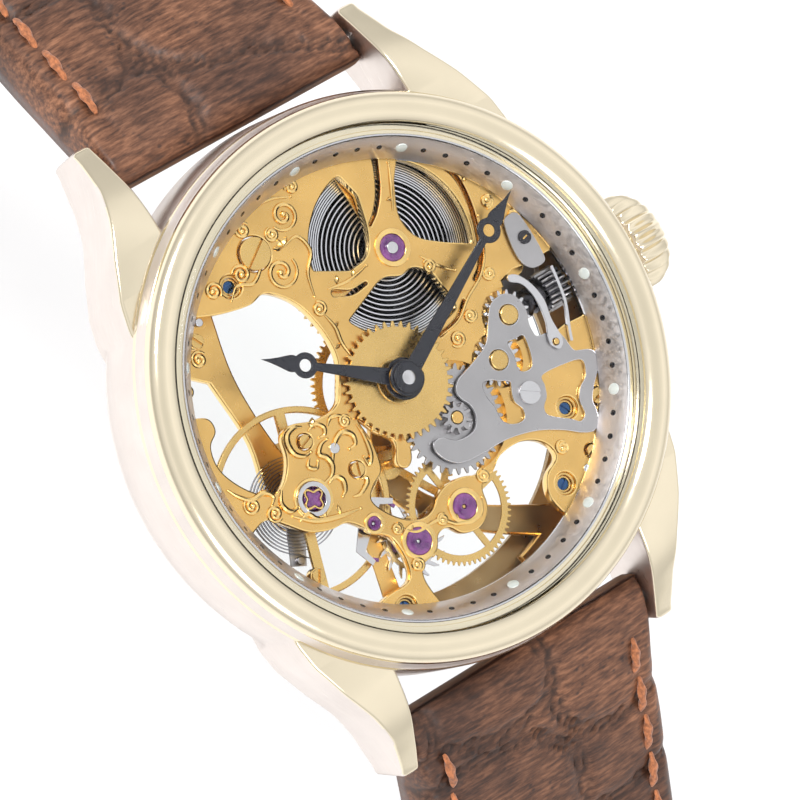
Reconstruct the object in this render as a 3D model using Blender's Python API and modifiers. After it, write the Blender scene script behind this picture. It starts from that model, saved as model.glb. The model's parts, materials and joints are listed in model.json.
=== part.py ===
"""A hand-wound skeleton wristwatch on a leather strap, as an assembly of its separate pieces.

The origin is the centre of the case back's outer face. +Z points out through the dial, +Y to
12 o'clock and +X along the crown. Sizes below are in millimetres, and MM turns them into metres.
Each piece is shaped in millimetres about its own axis by the mesh helpers, and placed by put().
"""

import math

import bmesh
import bpy
from mathutils import Matrix, Vector

MM = 0.001
TAU = 2 * math.pi

# ---------------------------------------------------------------- clearances, millimetres
SEAT = 0.05  # between pieces that rest on or in each other
RUNNING = 0.06  # between a turning piece and what it turns in or on
AIR = 0.12  # between wheels at neighbouring levels

# ---------------------------------------------------------------- driving dimensions, millimetres
PLATE_R = 18.7  # the movement, which the case is built round
PLATE_TOP = 7.7
PLATE_THICK = 0.9
RIM_WALL = 0.6
BRIDGE_TOP = 3.9  # bridges sit against the rim from below
BRIDGE_THICK = 0.75
SPACER_WALL = 0.5  # the ring between movement and case

CASE_WALL = 1.7
CAVITY_R = PLATE_R + SPACER_WALL + 2 * SEAT
CASE_R = CAVITY_R + CASE_WALL  # outside of the case middle
CASE_SIDE_TOP = 9.2  # top of the straight side, level with the hour dots
CASE_SIDE_BOTTOM = 4.2
CASE_TOP = 10.4  # flat that carries the bezel
CASE_FOOT = 2.1  # underside of the case middle
BEZEL_R = CASE_R - 0.36
BEZEL_TOP = 11.5
CRYSTAL_R = CAVITY_R - 0.9
CRYSTAL_LOW = 10.2
CRYSTAL_DOME = 11.4
DIAL_OPENING_R = CRYSTAL_R - 2.25
BACK_R = CAVITY_R + 0.4
BACK_WINDOW_R = CRYSTAL_R - 2.8
BACK_THICK = 1.9
BACK_CRYSTAL_THICK = 1.2

LUG_WIDTH = 22.0  # strap width at the lugs
LUG_GAP = LUG_WIDTH + 0.4  # between the two lugs of a pair
LUG_REACH = CASE_R + 4.1  # lug tip from the centre
LUG_TIP_TOP = 4.7
LUG_TIP_FOOT = 0.3

STEM_Z = 6.2
STEM_R = 0.55
STEM_INNER_END = 10.9
CLUTCH_LOW, CLUTCH_HIGH = 12.4, 14.1  # from the centre, along the stem
CLUTCH_R = STEM_R + 0.5
WINDING_LOW, WINDING_HIGH = 14.25, 16.1
WINDING_TEETH = 13
WINDING_MODULE = 0.22
CROWN_R = 3.75
CROWN_FLUTES = 22
CROWN_X = CASE_R + 0.3
CROWN_TUBE_R = STEM_R + 0.75
STEM_OUTER_END = CROWN_X + 0.9

HOUR_HAND = 11.2
MINUTE_HAND = 16.5
HOUR_HAND_LOW = 8.95
MINUTE_HAND_LOW = 9.5
HOUR_ANGLE = 304.5  # clockwise from 12
MINUTE_ANGLE = 61.0

STRAP_THICK = 4.4  # at the lugs
STRAP_END_THICK = 2.8
STRAP_BUCKLE_WIDTH = 20.0
STRAP_TIP_WIDTH = 18.0
STRAP_12_LENGTH = 75.0
STRAP_6_LENGTH = 115.0
STRAP_DROP = 34.0  # degrees below level where a half leaves the lugs
STRAP_STRAIGHT = 18.0
STRAP_BEND_R = 38.0
STRAP_BEND = 58.0  # degrees of further bend
STRAP_TIP = 14.0  # length of the rounded end
STRAP_NOSE_R = 1.95  # rounded lug end, about the spring bar
STRAP_BAR_Y = CASE_R + 2.1
STRAP_BAR_Z = 3.7
BAR_R = 0.8
BAR_PIN_R = BAR_R - 0.35
HOLE_COUNT = 7
HOLE_PITCH = 6.5
HOLE_R = 1.0
FIRST_HOLE = 24.0  # from the tip
BUCKLE_WIRE = 2.2
BUCKLE_REACH = 11.0
BUCKLE_BAR_BACK = 3.0  # from the end of the strap
BUCKLE_BAR_R = 0.75
KEEPER_WALL = 1.1
KEEPER_ROOM = 3.4  # over the buckle half, for the other half

ROUND = 44  # segments of a large turned piece
SMALL_ROUND = 28  # of a wheel or a drum

# ---------------------------------------------------------------- wheels: teeth and levels
BARREL_TEETH, CENTRE_PINION_TEETH = 70, 16
CENTRE_TEETH, THIRD_PINION_TEETH = 64, 8
THIRD_TEETH, FOURTH_PINION_TEETH = 60, 8
FOURTH_TEETH, ESCAPE_PINION_TEETH = 60, 6
ESCAPE_TEETH = 15
CANNON_TEETH, MINUTE_TEETH = 12, 36
MINUTE_PINION_TEETH, HOUR_TEETH = 10, 40
SETTING_TEETH = 16
RATCHET_TEETH, CROWN_WHEEL_TEETH = 50, 30

BARREL_MODULE = 0.2258
CENTRE_MODULE = 0.1597
THIRD_MODULE = 0.168
FOURTH_MODULE = 0.137
MOTION_MODULE = 0.2167
HOUR_MODULE = 0.2082
RATCHET_MODULE = 0.249

BARREL_DIRECTION = 61.06  # degrees from +X, seen from the dial
THIRD_DIRECTION = 245.4
FOURTH_DIRECTION = 296.6  # from the third wheel
ESCAPE_DIRECTION = 185.7  # from the fourth wheel
MINUTE_DIRECTION = 301.2
SETTING_1_DIRECTION = 21.1  # from the minute wheel
SETTING_2_DIRECTION = 45.9  # from the first setting wheel
CROWN_WHEEL_DIRECTION = 326.5  # from the barrel
ESCAPE_R = 2.7
PALLET_DIRECTION = 131.7  # from the escape wheel
PALLET_DISTANCE = 3.68
BALANCE_DISTANCE = 4.99  # from the pallet fork, on the same line
BALANCE_R = 6.95
HAIRSPRING_R = 3.6
STUD_BEARING = 245
PALLET_FOOT = (-7.5, -13.7)

PIVOT_R = 0.13
ARBOR_R = 0.8
BARREL_PIVOT_R = 0.45
CENTRE_ARBOR_R = 0.45
STAFF_R = 0.22
ROLLER_PIN_R = 0.9
REGULATOR_HOLE_R = 1.1
CANNON_R = 0.85
HOUR_PIPE_R = 1.15
MINUTE_POST_R, SETTING_POST_R, CROWN_POST_R, LEVER_POST_R = 0.45, 0.72, 0.9, 0.22
BARREL_JEWEL_R, ESCAPE_JEWEL_R, FOURTH_JEWEL_R, PALLET_JEWEL_R, SHOCK_R = 1.0, 1.0, 0.95, 0.5, 1.27
COVER_SCREW_R = 0.5

WHEEL_THICK = 0.2
PLATE_LOW = PLATE_TOP - PLATE_THICK
BRIDGE_LOW = BRIDGE_TOP - BRIDGE_THICK
HOUR_LOW = 7.95
MINUTE_LOW = 7.3
FOURTH_LOW = PLATE_LOW - 0.3
ESCAPE_LOW = FOURTH_LOW - 0.3
BALANCE_LOW = ESCAPE_LOW - 0.9
BARREL_LOW = 4.6
BARREL_HIGH = PLATE_LOW - 0.18
BARREL_WALL_R = 7.15
THIRD_LOW = 4.75
CENTRE_LOW = 4.15
HAIRSPRING_LOW = 4.15
RATCHET_LOW = 2.8
CANNON_HIGH = 9.75
PALLET_BRIDGE_LOW = ESCAPE_LOW - 0.32
COVER_LOW = PLATE_TOP + SEAT
COVER_TOP = COVER_LOW + 0.25
LEVER_LOW = PLATE_TOP + 0.1
YOKE_LOW = PLATE_TOP + 0.38


def polar(radius, degrees, at=(0.0, 0.0)):
    turn = math.radians(degrees)
    return (at[0] + radius * math.cos(turn), at[1] + radius * math.sin(turn))


def meshed(at, direction, module, teeth, other_teeth):
    """The centre of a wheel of other_teeth that meshes with the one of teeth at this place."""
    return polar(module * (teeth + other_teeth) / 2, direction, at)


def mesh_phase(direction, phase, teeth, other_teeth):
    """The phase of a wheel of other_teeth that meshes with the wheel of teeth on this bearing."""
    return direction + 180 - (phase - direction) * teeth / other_teeth + 180 / other_teeth


CENTRE = (0.0, 0.0)
BARREL = meshed(CENTRE, BARREL_DIRECTION, BARREL_MODULE, BARREL_TEETH, CENTRE_PINION_TEETH)
THIRD = meshed(CENTRE, THIRD_DIRECTION, CENTRE_MODULE, CENTRE_TEETH, THIRD_PINION_TEETH)
FOURTH = meshed(THIRD, FOURTH_DIRECTION, THIRD_MODULE, THIRD_TEETH, FOURTH_PINION_TEETH)
ESCAPE = meshed(FOURTH, ESCAPE_DIRECTION, FOURTH_MODULE, FOURTH_TEETH, ESCAPE_PINION_TEETH)
PALLET = polar(PALLET_DISTANCE, PALLET_DIRECTION, ESCAPE)
BALANCE = polar(BALANCE_DISTANCE, PALLET_DIRECTION, PALLET)
MINUTE = meshed(CENTRE, MINUTE_DIRECTION, MOTION_MODULE, CANNON_TEETH, MINUTE_TEETH)
SETTING_1 = meshed(MINUTE, SETTING_1_DIRECTION, MOTION_MODULE, MINUTE_TEETH, SETTING_TEETH)
SETTING_2 = meshed(SETTING_1, SETTING_2_DIRECTION, MOTION_MODULE, SETTING_TEETH, SETTING_TEETH)
CROWN_WHEEL = meshed(BARREL, CROWN_WHEEL_DIRECTION, RATCHET_MODULE, RATCHET_TEETH, CROWN_WHEEL_TEETH)

COVER_SCREW = (8.85, -5.6)
LEVER_PIVOT = (14.4, 4.4)
YOKE_PIVOT = (12.6, -3.35)

BARREL_PHASE = 0.0
CENTRE_PINION_PHASE = mesh_phase(BARREL_DIRECTION + 180, BARREL_PHASE, BARREL_TEETH, CENTRE_PINION_TEETH)
THIRD_PINION_PHASE = mesh_phase(THIRD_DIRECTION, 0.0, CENTRE_TEETH, THIRD_PINION_TEETH)
FOURTH_PINION_PHASE = mesh_phase(FOURTH_DIRECTION, 0.0, THIRD_TEETH, FOURTH_PINION_TEETH)
ESCAPE_PINION_PHASE = mesh_phase(ESCAPE_DIRECTION, 0.0, FOURTH_TEETH, ESCAPE_PINION_TEETH)
MINUTE_PHASE = mesh_phase(MINUTE_DIRECTION, 0.0, CANNON_TEETH, MINUTE_TEETH)
HOUR_PHASE = mesh_phase(MINUTE_DIRECTION + 180, 0.0, MINUTE_PINION_TEETH, HOUR_TEETH)
SETTING_1_PHASE = mesh_phase(SETTING_1_DIRECTION, MINUTE_PHASE, MINUTE_TEETH, SETTING_TEETH)
SETTING_2_PHASE = mesh_phase(SETTING_2_DIRECTION, SETTING_1_PHASE, SETTING_TEETH, SETTING_TEETH)
RATCHET_PHASE = 0.0
CROWN_WHEEL_PHASE = mesh_phase(CROWN_WHEEL_DIRECTION, RATCHET_PHASE, RATCHET_TEETH, CROWN_WHEEL_TEETH)
CLICK_BEARING = 100
CLICK_PIVOT = polar(9.0, 118, BARREL)

PARTS = bpy.data.collections.new("skeleton_wristwatch")


# ---------------------------------------------------------------- outlines
def circle(radius, steps=24, at=(0.0, 0.0), start=0.0):
    return [polar(radius, start + 360 * i / steps, at) for i in range(steps)]


def arc(radius, start, end, steps, at=(0.0, 0.0)):
    return [polar(radius, start + (end - start) * i / steps, at) for i in range(steps + 1)]


def smooth(points, steps=2):
    """A closed curve through the points, each stretch in this many steps."""
    count = len(points)
    curve = []
    for i in range(count):
        a, b, c, d = (Vector(points[(i + k) % count]) for k in (-1, 0, 1, 2))
        for step in range(steps):
            t = step / steps
            curve.append(
                tuple(
                    0.5 * (2 * b + (c - a) * t + (2 * a - 5 * b + 4 * c - d) * t**2)
                    + 0.5 * (3 * b - a - 3 * c + d) * t**3
                )
            )
    return curve


TOOTH_SHAPES = {
    # Points of one tooth, as (share of the way from root to tip, share of a pitch).
    "coarse": [(1, 0.0), (0, 0.5)],
    "pointed": [(0, -0.27), (1, 0.0), (0, 0.27)],
    "flat": [(0, -0.25), (1, -0.09), (1, 0.09), (0, 0.25)],
}


def gear(teeth, module, phase=0.0, tooth="coarse", addendum=0.85, dedendum=1.25):
    """A wheel's toothed outline. At phase 0 the middle of a tooth is at +X."""
    root = module * (teeth / 2 - dedendum)
    height = module * (addendum + dedendum)
    step = 360 / teeth
    shape = TOOTH_SHAPES[tooth]
    return [
        polar(root + height * rise, phase + (i + part) * step)
        for i in range(teeth)
        for rise, part in shape
    ]


def windows(inner, outer, count, arm, start=0.0, steps=4):
    """The openings between a wheel's arms."""
    shapes = []
    for i in range(count):
        middle = start + 360 * (i + 0.5) / count
        outer_half = 180 / count - math.degrees(math.asin(arm / 2 / outer))
        inner_half = 180 / count - math.degrees(math.asin(arm / 2 / inner))
        shapes.append(
            arc(outer, middle - outer_half, middle + outer_half, steps)
            + arc(inner, middle + inner_half, middle - inner_half, 2)
        )
    return shapes


def moved(points, at, degrees=0.0):
    turn = math.radians(degrees)
    c, s = math.cos(turn), math.sin(turn)
    return [(at[0] + x * c - y * s, at[1] + x * s + y * c) for x, y in points]


def spiral(inner, outer, turns, thickness, steps=16):
    """A strip wound in a flat spiral, as one closed outline."""
    count = int(turns * steps)
    middle = [(inner + (outer - inner) * i / count, 360 * i / steps) for i in range(count + 1)]
    outer = [polar(r + thickness / 2, a) for r, a in middle]
    return outer + [polar(r - thickness / 2, a) for r, a in reversed(middle)]


# ---------------------------------------------------------------- meshes, in millimetres
def evaluated_mesh(holder):
    """The mesh of an object with its modifiers applied. The object is removed."""
    bpy.context.scene.collection.objects.link(holder)
    graph = bpy.context.evaluated_depsgraph_get()
    mesh = bpy.data.meshes.new_from_object(holder.evaluated_get(graph))
    data = holder.data
    bpy.data.objects.remove(holder)
    (bpy.data.curves if isinstance(data, bpy.types.Curve) else bpy.data.meshes).remove(data)
    return mesh


def slab(low, high, outline, *holes):
    """A flat plate from low to high, with its holes."""
    curve = bpy.data.curves.new("outline", "CURVE")
    curve.dimensions = "2D"
    curve.fill_mode = "BOTH"
    curve.extrude = (high - low) / 2
    for points in (outline, *holes):
        spline = curve.splines.new("POLY")
        spline.points.add(len(points) - 1)
        for knot, (x, y) in zip(spline.points, points):
            knot.co = (x, y, 0, 1)
        spline.use_cyclic_u = True
    mesh = evaluated_mesh(bpy.data.objects.new("outline", curve))
    shape = bmesh.new()
    shape.from_mesh(mesh)
    bmesh.ops.remove_doubles(shape, verts=shape.verts, dist=1e-4)
    bmesh.ops.translate(shape, verts=shape.verts, vec=(0, 0, (low + high) / 2))
    bmesh.ops.recalc_face_normals(shape, faces=shape.faces)
    shape.to_mesh(mesh)
    shape.free()
    return mesh


def turned(profile, segments=48, closed=True):
    """A turned shape. The profile holds (radius, height) pairs, as a loop or from axis to axis."""
    mesh = bpy.data.meshes.new("profile")
    count = len(profile)
    edges = [(i, (i + 1) % count) for i in range(count if closed else count - 1)]
    mesh.from_pydata([(r, 0, z) for r, z in profile], edges, [])
    holder = bpy.data.objects.new("profile", mesh)
    screw = holder.modifiers.new("turn", "SCREW")
    screw.steps = screw.render_steps = segments
    screw.use_merge_vertices = True
    screw.merge_threshold = 1e-5
    mesh = evaluated_mesh(holder)
    shape = bmesh.new()
    shape.from_mesh(mesh)
    bmesh.ops.recalc_face_normals(shape, faces=shape.faces)
    if shape.calc_volume(signed=True) < 0:
        bmesh.ops.reverse_faces(shape, faces=shape.faces)
    shape.to_mesh(mesh)
    shape.free()
    return mesh


def ring(inner, outer, low, high, segments=48):
    return turned([(outer, high), (outer, low), (inner, low), (inner, high)], segments)


def rod(radius, low, high, at=(0.0, 0.0), segments=16):
    shape = bmesh.new()
    place = Matrix.Translation((at[0], at[1], (low + high) / 2))
    bmesh.ops.create_cone(
        shape,
        cap_ends=True,
        segments=segments,
        radius1=radius,
        radius2=radius,
        depth=high - low,
        matrix=place,
    )
    mesh = bpy.data.meshes.new("rod")
    shape.to_mesh(mesh)
    shape.free()
    return mesh


def block(low, high):
    """A box between two corners."""
    shape = bmesh.new()
    low, high = Vector(low), Vector(high)
    place = Matrix.Translation((low + high) / 2) @ Matrix.Diagonal((*(high - low), 1.0))
    bmesh.ops.create_cube(shape, size=1.0, matrix=place)
    mesh = bpy.data.meshes.new("block")
    shape.to_mesh(mesh)
    shape.free()
    return mesh


def turn(mesh, matrix):
    """The mesh moved by a matrix, which may mirror it."""
    mesh.transform(matrix)
    if matrix.determinant() < 0:
        mesh.flip_normals()
    return mesh


def boolean(base, operation, *others):
    holder = bpy.data.objects.new("base", base)
    tools = []
    for other in others:
        tool = bpy.data.objects.new("tool", other)
        bpy.context.scene.collection.objects.link(tool)
        cut = holder.modifiers.new(operation, "BOOLEAN")
        cut.operation = operation
        cut.object = tool
        tools.append(tool)
    mesh = evaluated_mesh(holder)
    for tool in tools:
        data = tool.data
        bpy.data.objects.remove(tool)
        bpy.data.meshes.remove(data)
    tidy_mesh = mesh.copy()
    shape = bmesh.new()
    shape.from_mesh(mesh)
    bmesh.ops.remove_doubles(shape, verts=shape.verts, dist=1e-4)
    bmesh.ops.dissolve_limit(shape, angle_limit=math.radians(0.2), verts=shape.verts, edges=shape.edges)
    bmesh.ops.triangulate(shape, faces=shape.faces)
    shape.to_mesh(tidy_mesh)
    closed = all(len(edge.link_faces) == 2 for edge in shape.edges) and all(
        face.calc_area() > 1e-7 for face in shape.faces
    )
    shape.free()
    return tidy_mesh if closed else mesh


def union(base, *others):
    return boolean(base, "UNION", *others)


def cut(base, *others):
    return boolean(base, "DIFFERENCE", *others)


def loft(sections):
    """A solid through sections of equal point counts, closed at both ends."""
    shape = bmesh.new()
    loops = [[shape.verts.new(point) for point in section] for section in sections]
    count = len(loops[0])
    for first, second in zip(loops, loops[1:]):
        for i in range(count):
            j = (i + 1) % count
            shape.faces.new((first[i], first[j], second[j], second[i]))
    shape.faces.new(loops[0])
    shape.faces.new(loops[-1])
    bmesh.ops.recalc_face_normals(shape, faces=shape.faces)
    mesh = bpy.data.meshes.new("loft")
    shape.to_mesh(mesh)
    shape.free()
    return mesh


# ---------------------------------------------------------------- materials and placing
def material(name, colour, roughness, metallic):
    made = bpy.data.materials.new(name)
    made.use_nodes = True
    shader = made.node_tree.nodes["Principled BSDF"]
    shader.inputs["Base Color"].default_value = (*colour, 1.0)
    shader.inputs["Roughness"].default_value = roughness
    shader.inputs["Metallic"].default_value = metallic
    return made


def put(name, mesh, finish, at=(0.0, 0.0, 0.0)):
    """Place a mesh made in millimetres about its own axis as a named piece."""
    mesh.transform(Matrix.Scale(MM, 4))
    mesh.name = name
    mesh.materials.clear()
    mesh.materials.append(finish)
    mesh.shade_smooth()
    mesh.set_sharp_from_angle(angle=math.radians(30))
    piece = bpy.data.objects.new(name, mesh)
    piece.location = Vector((*at, 0.0)[:3]) * MM
    PARTS.objects.link(piece)
    return piece


def put_turning(name, mesh, finish, frame):
    """Place a mesh made in the watch's frame so that its origin is at a joint's frame."""
    at = frame.translation
    turn(mesh, Matrix.Translation(-at))
    return put(name, mesh, finish, tuple(at))


# ---------------------------------------------------------------- case
def make_lug():
    """One lug, at +X and +Y: what its plan and its side outline share."""
    inside = LUG_GAP / 2
    root = CASE_R - CASE_WALL * 0.6
    plan = arc(root, 36, math.degrees(math.acos(inside / root)), 3) + [
        (inside + 0.25, LUG_REACH),
        (inside + 1.55, LUG_REACH - 0.4),
        (inside + 2.0, CASE_R + 1.4),
        (inside + 3.0, CASE_R - 1.0),
        (inside + 4.4, CASE_R - 3.6),
        (inside + 5.6, CASE_R - 6.4),
        (inside + 6.0, CASE_R - 8.4),
    ]
    side = smooth(
        [
            (CASE_R - 10.0, CASE_SIDE_TOP - 0.05),
            (CASE_R - 5.5, CASE_SIDE_TOP - 0.1),
            (CASE_R - 2.4, CASE_SIDE_TOP - 0.5),
            (CASE_R, LUG_TIP_TOP + 3.2),
            (CASE_R + 2.2, LUG_TIP_TOP + 1.6),
            (LUG_REACH, LUG_TIP_TOP),
            (LUG_REACH - 0.3, LUG_TIP_FOOT + 1.9),
            (LUG_REACH - 0.6, LUG_TIP_FOOT),
            (CASE_R + 0.6, LUG_TIP_FOOT + 0.45),
            (CASE_R - 2.4, CASE_FOOT - 0.2),
            (CASE_R - 6.0, CASE_FOOT + 0.3),
            (CASE_R - 10.0, CASE_FOOT + 0.3),
        ],
        1,
    )
    upright = Matrix(((0, 0, 1, 0), (1, 0, 0, 0), (0, 1, 0, 0), (0, 0, 0, 1)))
    return boolean(slab(-1, 13, plan), "INTERSECT", turn(slab(inside - 2, inside + 9, side), upright))


def make_case(gold):
    middle = turned(
        [
            (CAVITY_R, CASE_TOP),
            (BEZEL_R - 0.1, CASE_TOP),
            (BEZEL_R + 0.08, CASE_TOP - 0.45),
            (CASE_R, CASE_SIDE_TOP),
            (CASE_R, CASE_SIDE_BOTTOM),
            (CASE_R - 0.35, CASE_SIDE_BOTTOM - 1.1),
            (BACK_R + 0.2, CASE_FOOT),
            (CAVITY_R, CASE_FOOT),
        ],
        ROUND,
    )
    mirrors = [Matrix.Diagonal((x, y, 1, 1)) for x in (1, -1) for y in (1, -1)]
    lugs = [turn(make_lug(), mirror) for mirror in mirrors]
    along_x = Matrix.Rotation(math.radians(90), 4, "Y")
    to_stem = Matrix.Translation((0, 0, STEM_Z)) @ along_x
    bore = turn(rod(CROWN_TUBE_R + SEAT, CAVITY_R - 2, CASE_R + 2), to_stem)
    bars = []
    for side in (1, -1):
        bar = rod(BAR_PIN_R + SEAT, -LUG_GAP / 2 - 1.2, LUG_GAP / 2 + 1.2, segments=10)
        bars.append(turn(bar, Matrix.Translation((0, side * STRAP_BAR_Y, STRAP_BAR_Z)) @ along_x))
    put("case_middle", cut(union(middle, *lugs), bore, *bars), gold)

    low = CASE_TOP + SEAT
    put(
        "bezel",
        turned(
            [
                (CRYSTAL_R + SEAT, BEZEL_TOP - 0.4),
                (CRYSTAL_R + 0.6, BEZEL_TOP - 0.08),
                (CRYSTAL_R + 1.2, BEZEL_TOP),
                (BEZEL_R - 0.45, BEZEL_TOP - 0.22),
                (BEZEL_R, BEZEL_TOP - 0.7),
                (BEZEL_R, low),
                (CAVITY_R - SEAT, low),
                (CAVITY_R - SEAT, CASE_SIDE_TOP),
                (CRYSTAL_R + SEAT, CASE_SIDE_TOP),
            ],
            ROUND,
        ),
        gold,
    )


def make_glazing(glass, silver, black, steel):
    put(
        "front_crystal",
        turned(
            [
                (0, CRYSTAL_DOME),
                (CRYSTAL_R * 0.6, CRYSTAL_DOME - 0.08),
                (CRYSTAL_R - 0.3, CRYSTAL_DOME - 0.3),
                (CRYSTAL_R, CRYSTAL_DOME - 0.5),
                (CRYSTAL_R, CRYSTAL_LOW),
                (0, CRYSTAL_LOW),
            ],
            ROUND,
            closed=False,
        ),
        glass,
    )
    seat = CRYSTAL_LOW - SEAT
    put(
        "chapter_ring",
        turned(
            [
                (DIAL_OPENING_R + 1.3, seat),
                (CRYSTAL_R - 0.1, seat),
                (CRYSTAL_R - 0.1, PLATE_TOP + SEAT),
                (DIAL_OPENING_R, PLATE_TOP + SEAT),
                (DIAL_OPENING_R, PLATE_TOP + 0.35),
            ],
            ROUND,
        ),
        silver,
    )
    put(
        "case_back",
        turned(
            [
                (BACK_WINDOW_R, BACK_CRYSTAL_THICK + 0.55),
                (CAVITY_R - SEAT, BACK_THICK + 0.7),
                (CAVITY_R - SEAT, BACK_THICK),
                (BACK_R, BACK_THICK),
                (BACK_R - 0.25, 0.45),
                (BACK_R - 1.3, 0),
                (BACK_WINDOW_R + 0.5, 0),
                (BACK_WINDOW_R + 0.5, BACK_CRYSTAL_THICK + SEAT),
                (BACK_WINDOW_R, BACK_CRYSTAL_THICK + SEAT),
            ],
            36,
        ),
        steel,
    )
    put("back_crystal", rod(BACK_WINDOW_R + 0.5 - SEAT, 0, BACK_CRYSTAL_THICK, segments=36), glass)
    gasket = BACK_THICK + 0.7
    put(
        "back_gasket",
        ring(CAVITY_R - 0.75, CAVITY_R - SEAT, gasket + SEAT, gasket + 0.5, 32),
        black,
    )


# ---------------------------------------------------------------- movement: plate and bridges
def make_main_plate(gold):
    """The skeletonised plate on the dial side, with the rim that carries the bridges."""
    upper_left = smooth(
        [
            (-10.6, 10.7), (-9.0, 10.25), (-7.2, 9.95), (-6.0, 10.2), (-4.75, 9.25), (-3.8, 7.8), (-3.2, 5.4),
            (-3.3, 3.4), (-4.3, 1.6), (-4.9, 0.75), (-6.0, 0.45), (-7.4, 0.6), (-8.9, 1.1), (-10.0, 0.7),
            (-10.4, -0.8), (-11.4, -2.1), (-12.7, -2.6), (-14.3, -1.3), (-15.4, 0.8), (-15.2, 2.6),
            (-14.3, 3.3),
            (-14.3, 4.4), (-15.3, 4.95),
        ],
        1,
    ) + arc(17.5, 163, 138, 3)
    middle = smooth(
        [
            (-4.1, -0.9), (-3.9, -3.0), (-4.3, -5.0), (-5.3, -5.6), (-6.1, -6.4), (-5.7, -7.5), (-4.7, -8.7),
            (-3.4, -9.5), (-2.2, -9.35), (-1.4, -8.7), (-0.3, -8.3), (1.2, -8.4), (2.4, -8.8), (3.9, -8.0),
            (2.4, -7.2), (0.6, -6.4), (-0.4, -4.9), (-1.3, -4.6), (-1.7, -5.4), (-2.3, -5.85), (-2.95, -5.5),
            (-2.9, -4.9), (-2.3, -3.7), (-3.2, -2.6),
        ],
        1,
    )
    bottom = smooth(
        [
            (-5.2, -14.5), (-5.3, -13.4), (-4.9, -12.45), (-3.4, -12.1), (-2.7, -11.1), (-1.7, -11.05),
            (-0.9, -12.0),
            (0.6, -12.2), (1.8, -11.3), (2.2, -9.7), (3.6, -9.2), (4.6, -8.5), (6.6, -8.4), (8.2, -9.3),
            (8.6, -10.7),
            (7.2, -11.5), (6.6, -12.9), (6.9, -14.3),
        ],
        1,
    ) + arc(17.2, -64, -106, 5)
    lower_left = smooth(
        [
            (-15.4, -4.2), (-14.0, -3.9), (-12.9, -4.9), (-11.6, -6.2), (-10.0, -6.85), (-8.6, -7.0),
            (-7.6, -8.0),
            (-7.0, -8.8), (-6.1, -9.6), (-5.9, -11.6), (-6.5, -12.9), (-8.4, -13.0), (-9.9, -13.4),
        ],
        1,
    ) + arc(17.4, -129, -163, 4)
    stem_slot = [(11.3, -2.5), (16.9, -2.5), (16.9, 2.4), (11.3, 2.4)]
    around = BARREL
    spring_1 = arc(6.55, 100, 168, 5, around) + [(0.9, 8.55), (2.6, 8.9), (3.6, 10.4), (4.2, 13.0)]
    spring_2 = arc(6.5, -24, 56, 6, around) + [(7.3, 12.5), (6.4, 10.2), (6.9, 8.3), (8.6, 7.0)]
    spring_3 = arc(6.5, 208, 292, 6, around) + [(6.6, 5.5), (5.5, 6.6), (4.3, 6.4), (2.9, 6.9), (0.9, 6.0)]
    jewels = [
        circle(r + SEAT, 14, at)
        for r, at in (
            (BARREL_JEWEL_R, BARREL), (ESCAPE_JEWEL_R, ESCAPE), (FOURTH_JEWEL_R, FOURTH),
            (PALLET_JEWEL_R, PALLET),
            (SHOCK_R, BALANCE),
        )
    ]
    screws = [circle(0.85, 10, at) for at in ((-8.0, 11.8), (8.2, -12.7), (-7.6, -14.4), (11.2, -8.0))]
    bearings = [circle(CENTRE_ARBOR_R + RUNNING, 12, CENTRE), circle(PIVOT_R + RUNNING, 8, THIRD)]
    plate = slab(
        PLATE_LOW, PLATE_TOP, circle(PLATE_R, ROUND), upper_left, middle, bottom, lower_left, stem_slot,
        spring_1, spring_2, spring_3, *jewels, *screws, *bearings,
    )
    rim = ring(PLATE_R - RIM_WALL, PLATE_R, BRIDGE_TOP + SEAT, PLATE_TOP - 0.1, ROUND)
    minute_tip = MOTION_MODULE * MINUTE_TEETH / 2 + MOTION_MODULE
    setting_tip = MOTION_MODULE * SETTING_TEETH / 2 + MOTION_MODULE
    cannon_tip = MOTION_MODULE * CANNON_TEETH / 2 + MOTION_MODULE
    pocket = MINUTE_LOW - AIR
    pockets = [
        rod(minute_tip + AIR, pocket, 9, MINUTE, 40),
        rod(setting_tip + AIR, pocket, 9, SETTING_1, 24),
        rod(setting_tip + AIR, pocket, 9, SETTING_2, 24),
        rod(cannon_tip + AIR, pocket, 9, CENTRE, 24),
    ]
    posts = [
        rod(MINUTE_POST_R, pocket - 0.2, HOUR_LOW + 0.35, MINUTE, 12),
        rod(SETTING_POST_R, pocket - 0.2, COVER_TOP + 0.1, SETTING_1, 14),
        rod(SETTING_POST_R, pocket - 0.2, COVER_TOP + 0.1, SETTING_2, 14),
        rod(CROWN_POST_R, RATCHET_LOW - 0.1, PLATE_LOW + 0.2, CROWN_WHEEL, 14),
        rod(LEVER_POST_R, PLATE_LOW + 0.2, LEVER_LOW + 0.35, LEVER_PIVOT, 10),
        rod(LEVER_POST_R, PLATE_LOW + 0.2, YOKE_LOW + 0.3, YOKE_PIVOT, 10),
    ]
    along_x = Matrix.Rotation(math.radians(90), 4, "Y")
    stem_way = turn(rod(STEM_R + 0.4, 14, PLATE_R + 1), Matrix.Translation((0, 0, STEM_Z)) @ along_x)
    put("main_plate", cut(union(cut(union(plate, rim), *pockets), *posts), stem_way), gold)


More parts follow.
